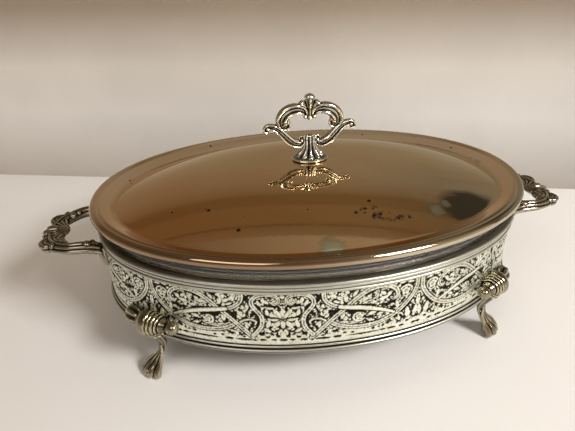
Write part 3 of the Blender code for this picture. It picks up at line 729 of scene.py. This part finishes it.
# ---------------------------------------------------------------- rims, liner and lid
def make_rims(material):
    top = [(-6.2, 81.3, 0.7), (-3.0, 81.2, 0.6), (0.1, 81.2, 0.5), (0.32, 80.8, 0.5), (0.35, 76.0, 0.5),
           (0.40, 75.45, 0.4), (0.8, 75.3, 0.6), (1.3, 75.5, 0.9), (1.6, 76.1, 0.95), (1.45, 76.8, 0.9),
           (1.0, 77.15, 0.6), (0.62, 77.4, 0.1), (0.95, 77.7, 0.6), (1.1, 78.2, 0.85), (1.1, 78.8, 0.85),
           (0.9, 79.2, 0.6), (0.6, 79.5, 0.15), (1.0, 79.8, 0.6), (1.45, 80.2, 0.9), (1.85, 80.8, 1.0),
           (1.95, 81.4, 1.0), (1.7, 82.0, 0.95), (1.1, 82.3, 0.9), (0.4, 82.2, 0.7), (-0.3, 81.9, 0.5),
           (-2.5, 82.0, 0.4), (-5.8, 82.2, 0.4), (-6.3, 81.8, 0.6)]
    # In the bottom section, the low shades on the rim's top lip at heights 36.9 and 37.3 paint the shadow
    # line where the band meets the rim, as well as oxide in that joint.
    bottom = [(-9.0, 33.0, 0.6), (-9.1, 34.0, 0.6), (-8.4, 34.3, 0.6), (-2.0, 34.2, 0.5), (0.1, 34.3, 0.4),
              (0.35, 34.8, 0.3), (0.35, 36.9, 0.1), (0.5, 37.3, 0.1), (0.9, 37.2, 0.6), (1.3, 36.8, 0.9),
              (1.35, 36.4, 0.8), (1.1, 36.0, 0.3), (0.6, 35.7, 0.0), (0.55, 35.2, 0.0), (0.9, 34.9, 0.05),
              (1.7, 34.8, 0.6), (2.15, 34.4, 1.0), (2.2, 33.9, 0.9), (1.9, 33.5, 0.2), (2.15, 33.2, 0.6),
              (2.0, 32.8, 0.7), (1.2, 32.6, 0.6), (-8.3, 32.6, 0.6)]
    for rim, section in (("top_rim", top), ("bottom_rim", bottom)):
        piece = band(f"{rim}_moulding", spline(section, 3, closed=True))
        dress(piece, "stand", rim, material)


def make_liner(material):
    outside = [(-40.0, 37.0), (-27.0, 37.0), (-21.0, 37.5), (-16.2, 40.0), (-13.6, 44.5), (-7.2, 81.6),
               (-6.4, 82.45), (-3.0, 82.5), (-2.3, 83.0), (-2.2, 84.0), (-2.2, 94.6), (-2.5, 95.6),
               (-3.2, 96.1)]
    inside = [(-4.4, 95.9), (-5.3, 94.8), (-6.3, 89.0), (-8.6, 84.0), (-11.2, 79.0), (-17.0, 47.5),
              (-20.4, 42.6), (-26.0, 41.0), (-40.0, 41.0)]
    profile = spline(outside + inside, 4)
    piece = mesh_object("glass_liner_body", *closed_rings(oval_sweep(profile, full_turn(240))))
    dress(piece, "liner", "glass_liner", material)


def dome_height(k):
    return VALLEY_Z + (DOME_TOP - VALLEY_Z) * (1 - k ** DOME_POWER)


def lid_ripple(rings):
    """The faint unevenness of spun sheet, which bends reflections."""
    x, y = rings[..., 0], rings[..., 1]
    wave = (np.sin(x / 19.0 + 0.6) * np.sin(y / 15.0 + 1.1) + 0.6 * np.sin(x / 9.0 - y / 13.0)
            + 0.4 * np.sin(x / 31.0 + y / 7.0 + 2.0))
    rings[..., 2] += 0.035 * wave
    return rings


def make_lid(material):
    steps = 320
    turn = full_turn(steps)
    top = [(0.7, 94.4), (0.15, 95.0), (0.0, 95.9), (0.3, 97.3), (1.2, 98.5), (2.6, 99.2),
           (3.9, 99.0), (4.9, 98.3), (5.5, 97.8), (6.2, 97.9), (7.2, 97.95), (9.2, 97.2), (11.6, 96.2),
           (13.6, 95.4), (14.7, 95.0), (15.5, 94.55), (16.1, 94.4), (16.4, 94.55)]
    under = [(15.6, 93.5), (13.4, 93.9), (10.9, 95.0), (8.6, 96.0), (6.6, 96.9), (5.0, 97.6), (3.4, 98.0),
             (2.4, 97.4), (1.6, 96.4), (1.4, 95.0), (1.1, 94.4)]
    scales = 1 - np.linspace(0, 1, 40) ** 1.25 * (1 - LID_HOLE_R / DOME_B)
    rings = [oval_points(LID_HIGH[0] - w, LID_HIGH[1] - w, z, turn) for w, z in spline(top, 4)]
    for thickness, order in ((0.0, scales), (LID_THICKNESS, scales[::-1])):
        for k in order:
            power = 2.0 if k == scales[-1] else OVAL_POWER
            a, b = (LID_HOLE_R, LID_HOLE_R) if k == scales[-1] else (DOME_A * k, DOME_B * k)
            rings.append(oval_points(a, b, dome_height(k) - thickness, turn, power))
    rings += [oval_points(LID_HIGH[0] - w, LID_HIGH[1] - w, z, turn) for w, z in spline(under, 3)]
    rings = lid_ripple(np.array(rings))
    piece = mesh_object("lid_dome", rings, grid_faces(len(rings), steps, True, True))
    past_dome = rings[..., :2] / (np.array(LID_HIGH[:2]) - BRIM_W)
    reach = (np.abs(past_dome) ** OVAL_POWER).sum(-1) ** (1 / OVAL_POWER)
    shade_points(piece, np.clip((reach - 1) * LID_HIGH[0] / BRIM_W, 0, 1))
    dress(piece, "lid", "lid_shell", material)


# ---------------------------------------------------------------- castings
class Casting:
    """Closed shapes in millimetres, melted together and remeshed into one skin."""

    def __init__(self):
        self.points, self.faces, self.count = [], [], 0

    def add(self, points, triangles):
        points = np.asarray(points, float).reshape(-1, 3)
        self.points.append(points)
        self.faces.append(np.asarray(triangles) + self.count)
        self.count += len(points)

    def tube(self, path, radii, up=(0, 0, 1), squash=1.0):
        """A bar along a path; squash flattens it along up."""
        path = np.asarray(path, float)
        radii = np.broadcast_to(radii, len(path))
        tangent = np.gradient(path, axis=0)
        tangent /= np.linalg.norm(tangent, axis=1)[:, None]
        up = np.asarray(up, float)
        first = up - tangent * (tangent @ up)[:, None]
        first /= np.linalg.norm(first, axis=1)[:, None]
        second = np.cross(tangent, first)
        a = full_turn(14)
        rings = (path[:, None] + radii[:, None, None]
                 * (squash * first[:, None] * np.cos(a)[None, :, None]
                    + second[:, None] * np.sin(a)[None, :, None]))
        self.rings(rings)

    def rings(self, rings):
        self.add(*closed_rings(rings))

    def ball(self, centre, radii, turn=None):
        """An ellipsoid, turned about its centre by a rotation matrix."""
        a = full_turn(16)
        tilt = np.linspace(-0.5 * math.pi, 0.5 * math.pi, 11)[1:-1]
        rings = np.stack([np.outer(np.cos(tilt), np.cos(a)), np.outer(np.cos(tilt), np.sin(a)),
                          np.outer(np.sin(tilt), np.ones(16))], -1) * np.asarray(radii, float)
        if turn is not None:
            rings = rings @ np.asarray(turn).T
        self.rings(rings + np.asarray(centre, float))

    def skin(self, name, voxel=VOXEL, shape=None):
        points, faces = np.vstack(self.points), np.vstack(self.faces)
        if shape is not None:
            points = shape(points)
        rough = mesh_object(name + "_rough", points, faces)
        remesh = rough.modifiers.new("melt", "REMESH")
        remesh.mode = "VOXEL"
        remesh.voxel_size = voxel * MM
        ease = rough.modifiers.new("ease", "SMOOTH")
        ease.factor, ease.iterations = 0.5, 2
        graph = bpy.context.evaluated_depsgraph_get()
        mesh = bpy.data.meshes.new_from_object(rough.evaluated_get(graph))
        mesh.name = name
        mesh.shade_smooth()
        old = rough.data
        bpy.data.objects.remove(rough)
        bpy.data.meshes.remove(old)
        return mesh


def mirrored(mesh, name, sx, sy):
    """An object of a mesh flipped in X and Y, faces kept outward."""
    copy = mesh.copy()
    copy.name = name
    copy.transform(Matrix.Diagonal((sx, sy, 1, 1)))
    if sx * sy < 0:
        copy.flip_normals()
    made = bpy.data.objects.new(name, copy)
    bpy.context.scene.collection.objects.link(made)
    return made


def move_points(mesh, change):
    """Passes a mesh's points, in millimetres, through a function."""
    co = np.empty(len(mesh.vertices) * 3, np.float32)
    mesh.vertices.foreach_get("co", co)
    p = change(co.reshape(-1, 3) / MM)
    mesh.vertices.foreach_set("co", (p * MM).astype(np.float32).ravel())
    mesh.update()


def off_the_wall(p):
    """Pushes what would lie inside the wall or the rims out to their faces."""
    clear = np.select([(p[:, 2] < 32.3), (p[:, 2] < 37.7), (p[:, 2] < 75.0), (p[:, 2] < 83.0)],
                      [-99.0, 2.4, 0.3, 2.1], -99.0)
    a, b = WALL_A + clear, WALL_B + clear
    level = (np.abs(p[:, 0] / a) ** OVAL_POWER + np.abs(p[:, 1] / b) ** OVAL_POWER) ** (1 / OVAL_POWER)
    near = (level < 1) & (level > 0.86)
    p[near, :2] /= level[near, None]
    return p


KNEE_LINE = [(-22.4, 0.9, 42.2), (-15.4, 2.2, 42.8), (-7.5, 3.8, 43.4), (-2.5, 4.4, 44.0),
             (2.5, 4.8, 44.8), (10.8, 5.0, 46.0), (16.6, 5.2, 47.2), (24.0, 5.9, 48.6)]
KNEE_TURNING = [                # (s, radius) from the volute end to the ball end
    (-22.2, 0.8), (-21.6, 3.2), (-19.8, 4.6), (-17.0, 5.3), (-14.0, 5.4), (-11.0, 4.9), (-8.8, 4.3),
    (-7.6, 4.4), (-6.9, 5.8), (-5.4, 7.4), (-3.0, 8.4), (-0.6, 8.5), (1.5, 7.9), (2.4, 6.5), (3.2, 7.6),
    (4.4, 7.5), (5.1, 6.2), (5.9, 7.1), (7.2, 6.8), (7.8, 5.4), (8.5, 6.1), (9.3, 5.8), (9.9, 4.7),
    (10.8, 4.8), (12.0, 4.1), (13.2, 3.3), (14.4, 2.8), (15.1, 3.2), (16.6, 3.9), (18.6, 4.25),
    (20.4, 4.0), (21.9, 3.1), (22.8, 1.9), (23.2, 0.7)]
LEG_LINE = [                    # (z, s, r of the middle, half width, half depth)
    (46.0, 0.4, 5.0, 5.6, 4.2), (40.0, 0.6, 4.6, 6.0, 5.2), (36.0, 1.2, 3.9, 4.9, 4.6),
    (32.0, 1.9, 2.3, 3.6, 3.6), (27.0, 2.1, 0.2, 2.9, 2.8), (22.0, 1.5, -0.9, 2.5, 2.3),
    (17.0, 0.2, -0.4, 2.4, 2.1), (12.0, -1.6, 1.0, 2.8, 2.0), (7.0, -3.6, 2.8, 3.8, 2.2),
    (3.0, -4.8, 3.8, 4.8, 2.4), (0.0, -5.2, 4.0, 4.6, 2.2)]
TOE_TIPS = [(-12.0, 6.8, 2.0), (-7.9, 8.9, 2.1), (-3.4, 9.7, 2.3), (1.3, 8.3, 2.4)]    # (s, r, radius)


def foot_shapes():
    """One foot in wall coordinates: s along the wall to the ball end, r out of it, z up."""
    foot = Casting()
    turning = spline(KNEE_TURNING, 3)
    line = np.array(KNEE_LINE)
    centre = np.stack([turning[:, 0], np.interp(turning[:, 0], line[:, 0], line[:, 1]),
                       np.interp(turning[:, 0], line[:, 0], line[:, 2])], -1)
    a = full_turn(40)
    ridges = 1 + 0.11 * np.clip((-8.6 - turning[:, 0]) / 2, 0, 1)[:, None] * np.cos(7 * a)[None]
    foot.rings(centre[:, None] + (turning[:, 1][:, None] * ridges)[..., None]
               * np.stack([0 * a, np.cos(a), np.sin(a)], -1)[None])
    a = full_turn(48)
    rings = [np.stack([s + half_width * (1 + 0.05 * np.cos(6 * a)) * np.cos(a),
                       r + half_depth * (1 + 0.05 * np.cos(6 * a)) * np.sin(a), np.full(48, max(z, 0.0))], -1)
             for z, s, r, half_width, half_depth in spline(LEG_LINE, 4)[::-1]]
    foot.rings(rings)
    for k, (s, r, radius) in enumerate(TOE_TIPS):
        spread = k - 1.5
        toe = spline([(1.6 + 0.6 * spread, 1.6, 24.0, 0.6), (0.4 + 1.3 * spread, 1.9, 17.0, 0.9),
                      (0.45 * s + 1.1 * spread - 0.6, 4.2, 10.0, 1.5), (0.85 * s, 0.86 * r, 5.0, radius),
                      (s, r, radius, radius), (1.04 * s, r + 0.5, 0.9, 0.7 * radius)], 5)
        foot.tube(toe[:, :3], toe[:, 3], up=(0, 1, 0))
        foot.ball((s, r, radius), (radius, radius, radius))
    for s, r, z, radius in ((3.0, 8.6, 38.2, 1.4), (6.2, 8.8, 38.6, 1.4), (9.0, 8.2, 40.2, 1.3),
                            (11.4, 7.2, 42.4, 1.1)):
        foot.ball((s, r, z), (1.25 * radius, radius, radius))
    leaf = spline([(0.0, 8.2, 38.2), (4.0, 9.4, 39.4), (8.0, 9.2, 41.0), (12.0, 7.6, 44.0)], 6)
    foot.tube(leaf, np.linspace(1.3, 0.7, len(leaf)))
    return foot


def make_feet(material):
    angle = math.atan2(-math.sin(FOOT_ANGLE), -math.cos(FOOT_ANGLE))
    place = np.array(wall_frame(angle))
    foot = foot_shapes()

    def to_wall(points):
        """The front left corner: along the wall towards the front's middle is +s there."""
        return points @ place[:3, :3].T + place[:3, 3]

    mesh = foot.skin("cast_foot", shape=to_wall)
    move_points(mesh, above_ground)
    move_points(mesh, off_the_wall)
    for corner, sx, sy in CORNERS:
        piece = mirrored(mesh, f"cast_foot_{corner}", -sx, -sy)
        dress(piece, "stand", f"foot_{corner}", material)


def above_ground(p):
    """Nothing reaches below the surface that the feet stand on."""
    p[:, 2] = np.maximum(p[:, 2], 0.0)
    return p


ARM_LINE = [                    # (x, y, z, radius) of half the +X handle
    (142.8, 24.2, 71.5, 4.2), (147.0, 25.2, 74.4, 4.5), (154.5, 25.6, 75.4, 4.3), (163.0, 25.0, 75.2, 4.1),
    (171.0, 20.6, 74.2, 4.2), (176.6, 13.6, 73.4, 4.4), (179.4, 4.8, 73.0, 4.4)]
ARM_RIDGES = [                  # (across, up, radius) in shares of the arm's radius
    (-0.80, 0.05, 0.30), (-0.42, 0.56, 0.30), (0.10, 0.70, 0.28), (0.55, 0.44, 0.28), (0.82, -0.05, 0.30),
    (0.0, -0.66, 0.38)]
LUG_RIDGES = [                  # (along the wall, height, radius along, out and up, tilt)
    (0.0, 69.4, 4.9, 2.4, 9.6, 0.0), (0.0, 68.8, 1.4, 3.6, 10.0, 0.0), (3.2, 70.0, 1.3, 3.1, 8.2, -0.24),
    (-3.2, 70.0, 1.3, 3.1, 8.2, 0.24)]


def end_handle_shapes():
    """The +X handle, whole."""
    handle = Casting()
    for sy in (-1, 1):
        line = spline([(x, sy * y, z, r) for x, y, z, r in ARM_LINE], 8)
        path, radii = line[:, :3], line[:, 3]
        handle.tube(path, radii * 0.74)
        tangent = np.gradient(path, axis=0)
        side = np.stack([-tangent[:, 1], tangent[:, 0], 0 * tangent[:, 0]], -1) * sy
        side /= np.linalg.norm(side, axis=1)[:, None]
        for across, up, share in ARM_RIDGES:
            ridge = path + side * (across * radii)[:, None]
            ridge[:, 2] += up * radii
            handle.tube(ridge, radii * share)
        place = np.array(wall_frame(math.atan2(sy * math.sin(ARM_ANGLE), math.cos(ARM_ANGLE))))
        for s, z, along, out, up, tilt in LUG_RIDGES:
            turn = place[:3, :3] @ np.array(Matrix.Rotation(tilt, 3, "Y"))
            handle.ball(place[:3, :3] @ np.array((s, 1.2, z)) + place[:3, 3], (along, out, up), turn)
        for x, y, z, r in ((169.0, 17.4, 77.0, 2.7), (173.6, 21.4, 76.4, 2.5), (151.0, 25.8, 78.0, 3.0),
                           (148.4, 22.2, 77.6, 1.7), (165.6, 20.6, 77.4, 1.8)):
            handle.ball((x, sy * y, z), (r, r, r * 0.8))
        curl = [(177.4 + k * math.cos(t), sy * (16.0 + k * math.sin(t)), 76.0 - 0.12 * k)
                for t, k in zip(np.linspace(-1.4, 3.2 * math.pi, 30), np.linspace(6.0, 0.9, 30))]
        handle.tube(curl, np.linspace(1.7, 1.0, 30))
        handle.ball((177.4, sy * 16.0, 73.0), (5.6, 6.4, 3.0))
    for k in range(-4, 5):
        turn = 0.30 * k
        reach = 8.2 - 0.2 * abs(k)
        centre = (169.6 + 1.05 * reach * math.cos(turn), 1.55 * reach * math.sin(turn), 74.2)
        spread = np.array(Matrix.Rotation(turn * 1.1, 3, "Z"))
        handle.ball(centre, (0.98 * reach, 1.5, 3.8 - 0.2 * abs(k)), spread)
    handle.ball((172.6, 0, 75.0), (5.0, 7.6, 2.6))
    handle.ball((178.4, 0, 72.4), (6.6, 14.0, 2.8))
    return handle


ARM_ANGLE = math.atan2((HANDLE_Y / WALL_B) ** (OVAL_POWER / 2),
                       math.sqrt(1 - (HANDLE_Y / WALL_B) ** OVAL_POWER))


def make_end_handles(material):
    mesh = end_handle_shapes().skin("cast_end_handle")
    move_points(mesh, off_the_wall)
    for side, sx in (("left", -1), ("right", 1)):
        piece = mirrored(mesh, f"cast_end_handle_{side}", sx, 1)
        dress(piece, "stand", f"end_handle_{side}", material)


UPPER_SCROLL = [                # right half, (x, z, half width) from the petals to the volute
    (2.6, 145.4, 1.4), (4.2, 148.6, 2.7), (8.6, 150.0, 3.8), (13.4, 149.0, 4.2), (17.3, 146.2, 4.2),
    (19.1, 142.4, 3.8), (18.4, 138.8, 2.9), (15.8, 137.8, 2.0), (14.2, 139.6, 1.6),
    (15.0, 141.6, 1.3), (16.4, 141.2, 1.0)]
LOWER_SCROLL = [                # (x, z, half width) from the inner volute to the tip curl
    (5.6, 128.6, 0.9), (6.6, 129.6, 1.2), (4.6, 130.4, 1.4), (3.6, 128.4, 1.6), (5.2, 126.2, 2.0),
    (9.0, 126.0, 3.1), (13.2, 128.4, 3.5), (16.8, 132.0, 3.3), (20.2, 135.6, 2.9),
    (24.2, 138.4, 2.4), (28.0, 138.9, 2.2), (29.9, 136.8, 1.8), (27.5, 135.6, 1.5)]


def grooved_scroll(casting, line, depth, sx):
    """A scroll in the XZ plane: a flat web with a bold outer and a finer inner ridge."""
    line = spline(line, 7)
    path = np.stack([sx * line[:, 0], 0 * line[:, 0], line[:, 1]], -1)
    width = line[:, 2]
    tangent = np.gradient(path, axis=0)
    tangent /= np.linalg.norm(tangent, axis=1)[:, None]
    side = np.stack([-tangent[:, 2], tangent[:, 1], tangent[:, 0]], -1) * sx
    casting.tube(path, width * 0.80, up=(0, 1, 0), squash=0.58 * depth)
    for offset, share in ((0.62, 0.38), (-0.64, 0.36)):
        ridge = path + side * (offset * width)[:, None]
        casting.tube(ridge, width * share, up=(0, 1, 0), squash=depth / share * 0.92)


def lid_handle_shapes():
    handle = Casting()
    for sx in (-1, 1):
        grooved_scroll(handle, UPPER_SCROLL, 0.82, sx)
        grooved_scroll(handle, LOWER_SCROLL, 0.92, sx)
        leaf = spline([(sx * x, 0.0, z) for x, z in ((8.6, 148.2), (12.2, 146.6), (14.6, 143.8),
                                                      (14.8, 141.2))], 6)
        handle.tube(leaf, np.linspace(0.7, 1.4, len(leaf)), up=(0, 1, 0), squash=1.5)
        petal = spline([(sx * x, 0.0, z) for x, z in ((1.2, 144.4), (2.2, 148.6), (4.6, 152.6),
                                                       (6.4, 154.6))], 6)
        handle.tube(petal, np.interp(np.linspace(0, 1, len(petal)), (0, 0.5, 0.85, 1),
                                     (1.0, 1.5, 2.7, 1.7)), up=(0, 1, 0), squash=1.1)
        handle.ball((sx * 16.2, 0, 140.8), (1.7, 2.7, 1.7))
        handle.ball((sx * 5.4, 0, 128.5), (1.4, 2.5, 1.4))
        handle.ball((sx * 28.2, 0, 137.6), (1.5, 2.3, 1.5))
        handle.ball((sx * 3.0, 0, 144.6), (1.4, 2.2, 1.4))
    spine = spline([(0, 0, 143.6, 1.2), (0, 0, 148.0, 1.4), (0, 0, 152.0, 2.1), (0, 0, 155.4, 3.2),
                    (0, 0, 157.6, 3.6), (0, 0, 159.0, 2.7), (0, 0, 159.8, 1.2)], 5)
    handle.tube(spine[:, :3], spine[:, 3], up=(0, 1, 0), squash=0.85)
    for sy in (-1, 1):
        vein = spline([(0, 1.4 * sy, 145.0, 0.6), (0, 1.9 * sy, 150.0, 0.7), (0, 3.0 * sy, 155.0, 0.9),
                       (0, 3.0 * sy, 157.8, 0.7)], 5)
        handle.tube(vein[:, :3], vein[:, 3], up=(0, 1, 0))
    handle.ball((0, 0, 144.0), (1.9, 2.6, 1.9))
    pedestal = spline([(HANDLE_BASE_Z, 12.2, 9.0), (HANDLE_BASE_Z + 1.2, 12.4, 9.2), (117.0, 9.6, 7.4),
                       (118.4, 8.0, 6.2), (120.6, 5.8, 4.9), (123.5, 4.2, 3.8), (127.5, 3.7, 3.0),
                       (130.4, 3.9, 2.8), (132.0, 3.4, 2.4)], 5)
    a = full_turn(72)
    rings = []
    for z, half_x, half_y in pedestal:
        flute = 0.22 * np.clip((z - 116.6) / 2.5, 0, 1)
        swell = 1 + flute * np.cos(10 * (a + 0.5 * math.pi))
        rings.append(np.stack([half_x * swell * np.cos(a), half_y * swell * np.sin(a),
                               np.full(72, z)], -1))
    handle.rings(rings)
    return handle


def make_lid_handle(material):
    mesh = lid_handle_shapes().skin("scrolled_lid_handle", voxel=VOXEL * 0.8)
    piece = mirrored(mesh, "scrolled_lid_handle", 1, 1)
    dress(piece, "lid", "lid_handle", material)


# ---------------------------------------------------------------- studio
def pale_floor():
    s = Shader("pale_floor")
    s.set(Base_Color=s.ramp(s.noise(3, 6), [(0.3, (0.76, 0.735, 0.71)), (0.7, (0.80, 0.78, 0.765))]),
          Roughness=0.5)
    return s.material


def pale_backdrop():
    """Plaster with painted shade: a painted shadow over the upper wall that deepens under the ceiling, darker
    near the floor and dimmer towards the right; seen from behind it isn't there.
    """
    s = Shader("pale_backdrop")
    place = s.node("ShaderNodeSeparateXYZ", {"Vector": s.position()})
    height = place.outputs["Z"]
    # Painted shade: the wall dims towards the right.
    painted_shade_right = s.rise(place.outputs["X"], 0.10, 0.42, 1.0, 0.66)
    # Painted shade: darker at the floor, and a painted shadow from 0.19 m up.
    shade = s.ramp(height, [(0.0, (0.46, 0.42, 0.38)), (0.08, (0.70, 0.67, 0.64)), (0.13, (0.66, 0.62, 0.57)),
                            (0.19, (0.30, 0.24, 0.18)), (1.0, (0.26, 0.20, 0.14))])
    mottle_and_painted_shade = s.ramp(s.noise(14, 6), [(0.3, 0.94), (0.7, 1.0)])
    mottle_and_painted_shade = s.math("MULTIPLY", mottle_and_painted_shade, painted_shade_right)
    s.set(Base_Color=s.mix(1.0, shade, mottle_and_painted_shade, "MULTIPLY"), Roughness=0.85,
          Alpha=s.math("SUBTRACT", 1.0, s.node("ShaderNodeNewGeometry").outputs["Backfacing"]))
    s.bump(s.noise(60, 5), 0.12, 0.002)
    return s.material


ROOM_HEIGHT = 2.2
ROOM_BANDS = [                  # (height above the floor in metres, light) that polished metal reflects
    (0.03, (0.52, 0.50, 0.45)), (0.07, (0.42, 0.385, 0.31)), (0.115, (0.35, 0.29, 0.205)),
    (0.15, (0.30, 0.245, 0.165)), (0.27, (0.28, 0.225, 0.165)), (0.36, (0.235, 0.175, 0.115)),
    (0.408, (0.20, 0.145, 0.085)), (0.425, (0.175, 0.115, 0.058)), (0.545, (0.175, 0.112, 0.056)),
    (0.565, (0.205, 0.135, 0.07)), (1.05, (0.205, 0.135, 0.07)), (1.12, (0.11, 0.07, 0.035)),
    (1.20, (0.20, 0.135, 0.075)), (2.10, (0.22, 0.16, 0.105))]
SHADE_MIDDLE, SHADE_HALF, SHADE_LEAN = (0.425, 0.378), (0.115, 0.165), 0.62


def room_above():
    """Shelves and a dim warm ceiling, seen only in the metal."""
    s = Shader("studio_reflector")
    split = s.node("ShaderNodeSeparateXYZ", {"Vector": s.position()})
    waver = s.swing(s.noise(4, 2), 0.03)
    height = s.math("DIVIDE", s.math("ADD", split.outputs["Z"], waver), ROOM_HEIGHT)
    bands = s.ramp(height, [(z / ROOM_HEIGHT, light) for z, light in ROOM_BANDS])
    across = s.math("SUBTRACT", split.outputs["X"], SHADE_MIDDLE[0])
    up = s.math("SUBTRACT", split.outputs["Z"], SHADE_MIDDLE[1])
    dx = s.math("DIVIDE", s.math("SUBTRACT", across, s.math("MULTIPLY", up, SHADE_LEAN)), SHADE_HALF[0])
    dz = s.math("DIVIDE", up, SHADE_HALF[1])
    away = s.math("ADD", s.math("MULTIPLY", dx, dx), s.math("MULTIPLY", dz, dz))
    ragged = s.math("ADD", away, s.swing(s.noise(18, 3), 0.9))
    light = s.mix(s.ramp(ragged, [(0.55, 1.0), (1.15, 0.0)]), bands, (0.055, 0.048, 0.035))
    glow = s.node("ShaderNodeEmission", {"Color": light, "Strength": 1.0})
    s.links.new(glow.outputs[0], s.nodes["Material Output"].inputs["Surface"])
    return s.material


def make_studio():
    floor_points = [(-3000, -2600, 0), (3000, -2600, 0), (3000, 2600, 0), (-3000, 2600, 0)]
    floor = mesh_object("studio_floor", floor_points, [(0, 1, 2, 3)])
    wear_material(floor, pale_floor())
    side, foot = Vector((0.969, -0.248, 0)), Vector((0, 208, 0))
    rise = Vector((0, 0, 2200))
    corners = [foot - side * 2500, foot + side * 2500, foot + side * 2500 + rise, foot - side * 2500 + rise]
    wall = mesh_object("studio_backdrop", corners, [(0, 1, 2, 3)])
    wear_material(wall, pale_backdrop())
    nearer, low = Vector((-1.2, -4.8, 0)), Vector((0, 0, 30))
    flag_corners = [c + nearer for c in corners]
    flag_corners[0], flag_corners[1] = flag_corners[0] + low, flag_corners[1] + low
    flag = mesh_object("studio_reflector", flag_corners, [(0, 1, 2, 3)])
    wear_material(flag, room_above())
    for sees in ("visible_camera", "visible_diffuse", "visible_shadow", "visible_volume_scatter"):
        setattr(flag, sees, False)


def area_light(name, place, target, size, power, colour):
    light = bpy.data.lights.new(name, "AREA")
    light.shape, light.size, light.size_y = "RECTANGLE", size[0], size[1]
    light.energy, light.color = power, colour
    made = bpy.data.objects.new(name, light)
    made.location = Vector(place)
    made.rotation_euler = (Vector(target) - Vector(place)).to_track_quat("-Z", "Y").to_euler()
    bpy.context.scene.collection.objects.link(made)


def make_lights():
    area_light("key_softbox", (0.80, -0.92, 0.98), (0.05, -0.1, 0.0), (0.45, 0.35), 24, (1.0, 0.985, 0.96))
    area_light("fill_softbox", (-0.7, -1.0, 1.3), (0, 0, 0.05), (0.9, 0.7), 5.5, (1.0, 0.95, 0.90))
    world = bpy.data.worlds.new("studio_world")
    bpy.context.scene.world = world
    s = Shader("studio_world", world)
    place = s.node("ShaderNodeTexCoord").outputs["Generated"]
    split = s.node("ShaderNodeSeparateXYZ", {"Vector": place})
    sky = s.ramp(split.outputs["Z"], [(0.0, (0.55, 0.48, 0.40)), (0.25, (0.42, 0.34, 0.26)),
                                      (0.6, (0.22, 0.16, 0.10)), (1.0, (0.30, 0.24, 0.18))])
    background = s.nodes["Background"]
    s.put(background.inputs["Color"], sky)
    s.put(background.inputs["Strength"], s.rise(split.outputs["X"], -0.8, 0.8, 0.5, 1.5))
    bpy.context.scene.view_settings.view_transform = "Standard"


def make_camera():
    azimuth, elevation, roll = (math.radians(d) for d in (-7.66, 29.285, -1.41))
    distance, target = 0.4329, Vector((-0.0084, 0.0594, 0.0375))
    back = Vector((math.sin(azimuth) * math.cos(elevation),
                   -math.cos(azimuth) * math.cos(elevation), math.sin(elevation)))
    right = Vector((0, 0, 1)).cross(back).normalized()
    up = back.cross(right)
    turned_right = right * math.cos(roll) + up * math.sin(roll)
    turned_up = up * math.cos(roll) - right * math.sin(roll)
    matrix = Matrix((turned_right, turned_up, back)).transposed().to_4x4()
    matrix.translation = target + back * distance
    camera = bpy.data.cameras.new("photo_view")
    camera.sensor_width, camera.lens = 36.0, 31.3
    camera.clip_start = 0.01
    made = bpy.data.objects.new("photo_view", camera)
    bpy.context.scene.collection.objects.link(made)
    made.matrix_world = matrix
    bpy.context.scene.camera = made


# ---------------------------------------------------------------- build
make_camera()
make_studio()
make_lights()
make_gallery(relief_silver("relief_silver", 900, (0.91, 0.92, 0.80), 1.6))
make_rims(relief_silver("rim_silver", 500, (0.55, 0.545, 0.48)))
make_liner(clear_glass())
make_lid(coppered_lid())
make_lid_handle(casting_silver("bright_casting", (0.88, 0.87, 0.76), (0.010, 0.008, 0.006), (0.487, 0.526),
                               0.30, 0.10))
make_feet(casting_silver("foot_casting", (0.80, 0.72, 0.50), (0.014, 0.011, 0.006),
                         (0.488, 0.552), 0.18, 0.08))
make_end_handles(casting_silver("end_handle_casting", (0.60, 0.54, 0.42), (0.014, 0.010, 0.007),
                                (0.487, 0.545), 0.26, 0.10))
STEEL = plated_steel()
for node_name, node in NODES.items():
    if "screw" in node_name or node_name in ("lid_handle_stud", "lid_handle_washer", "lid_handle_nut"):
        wear_material(node, STEEL)
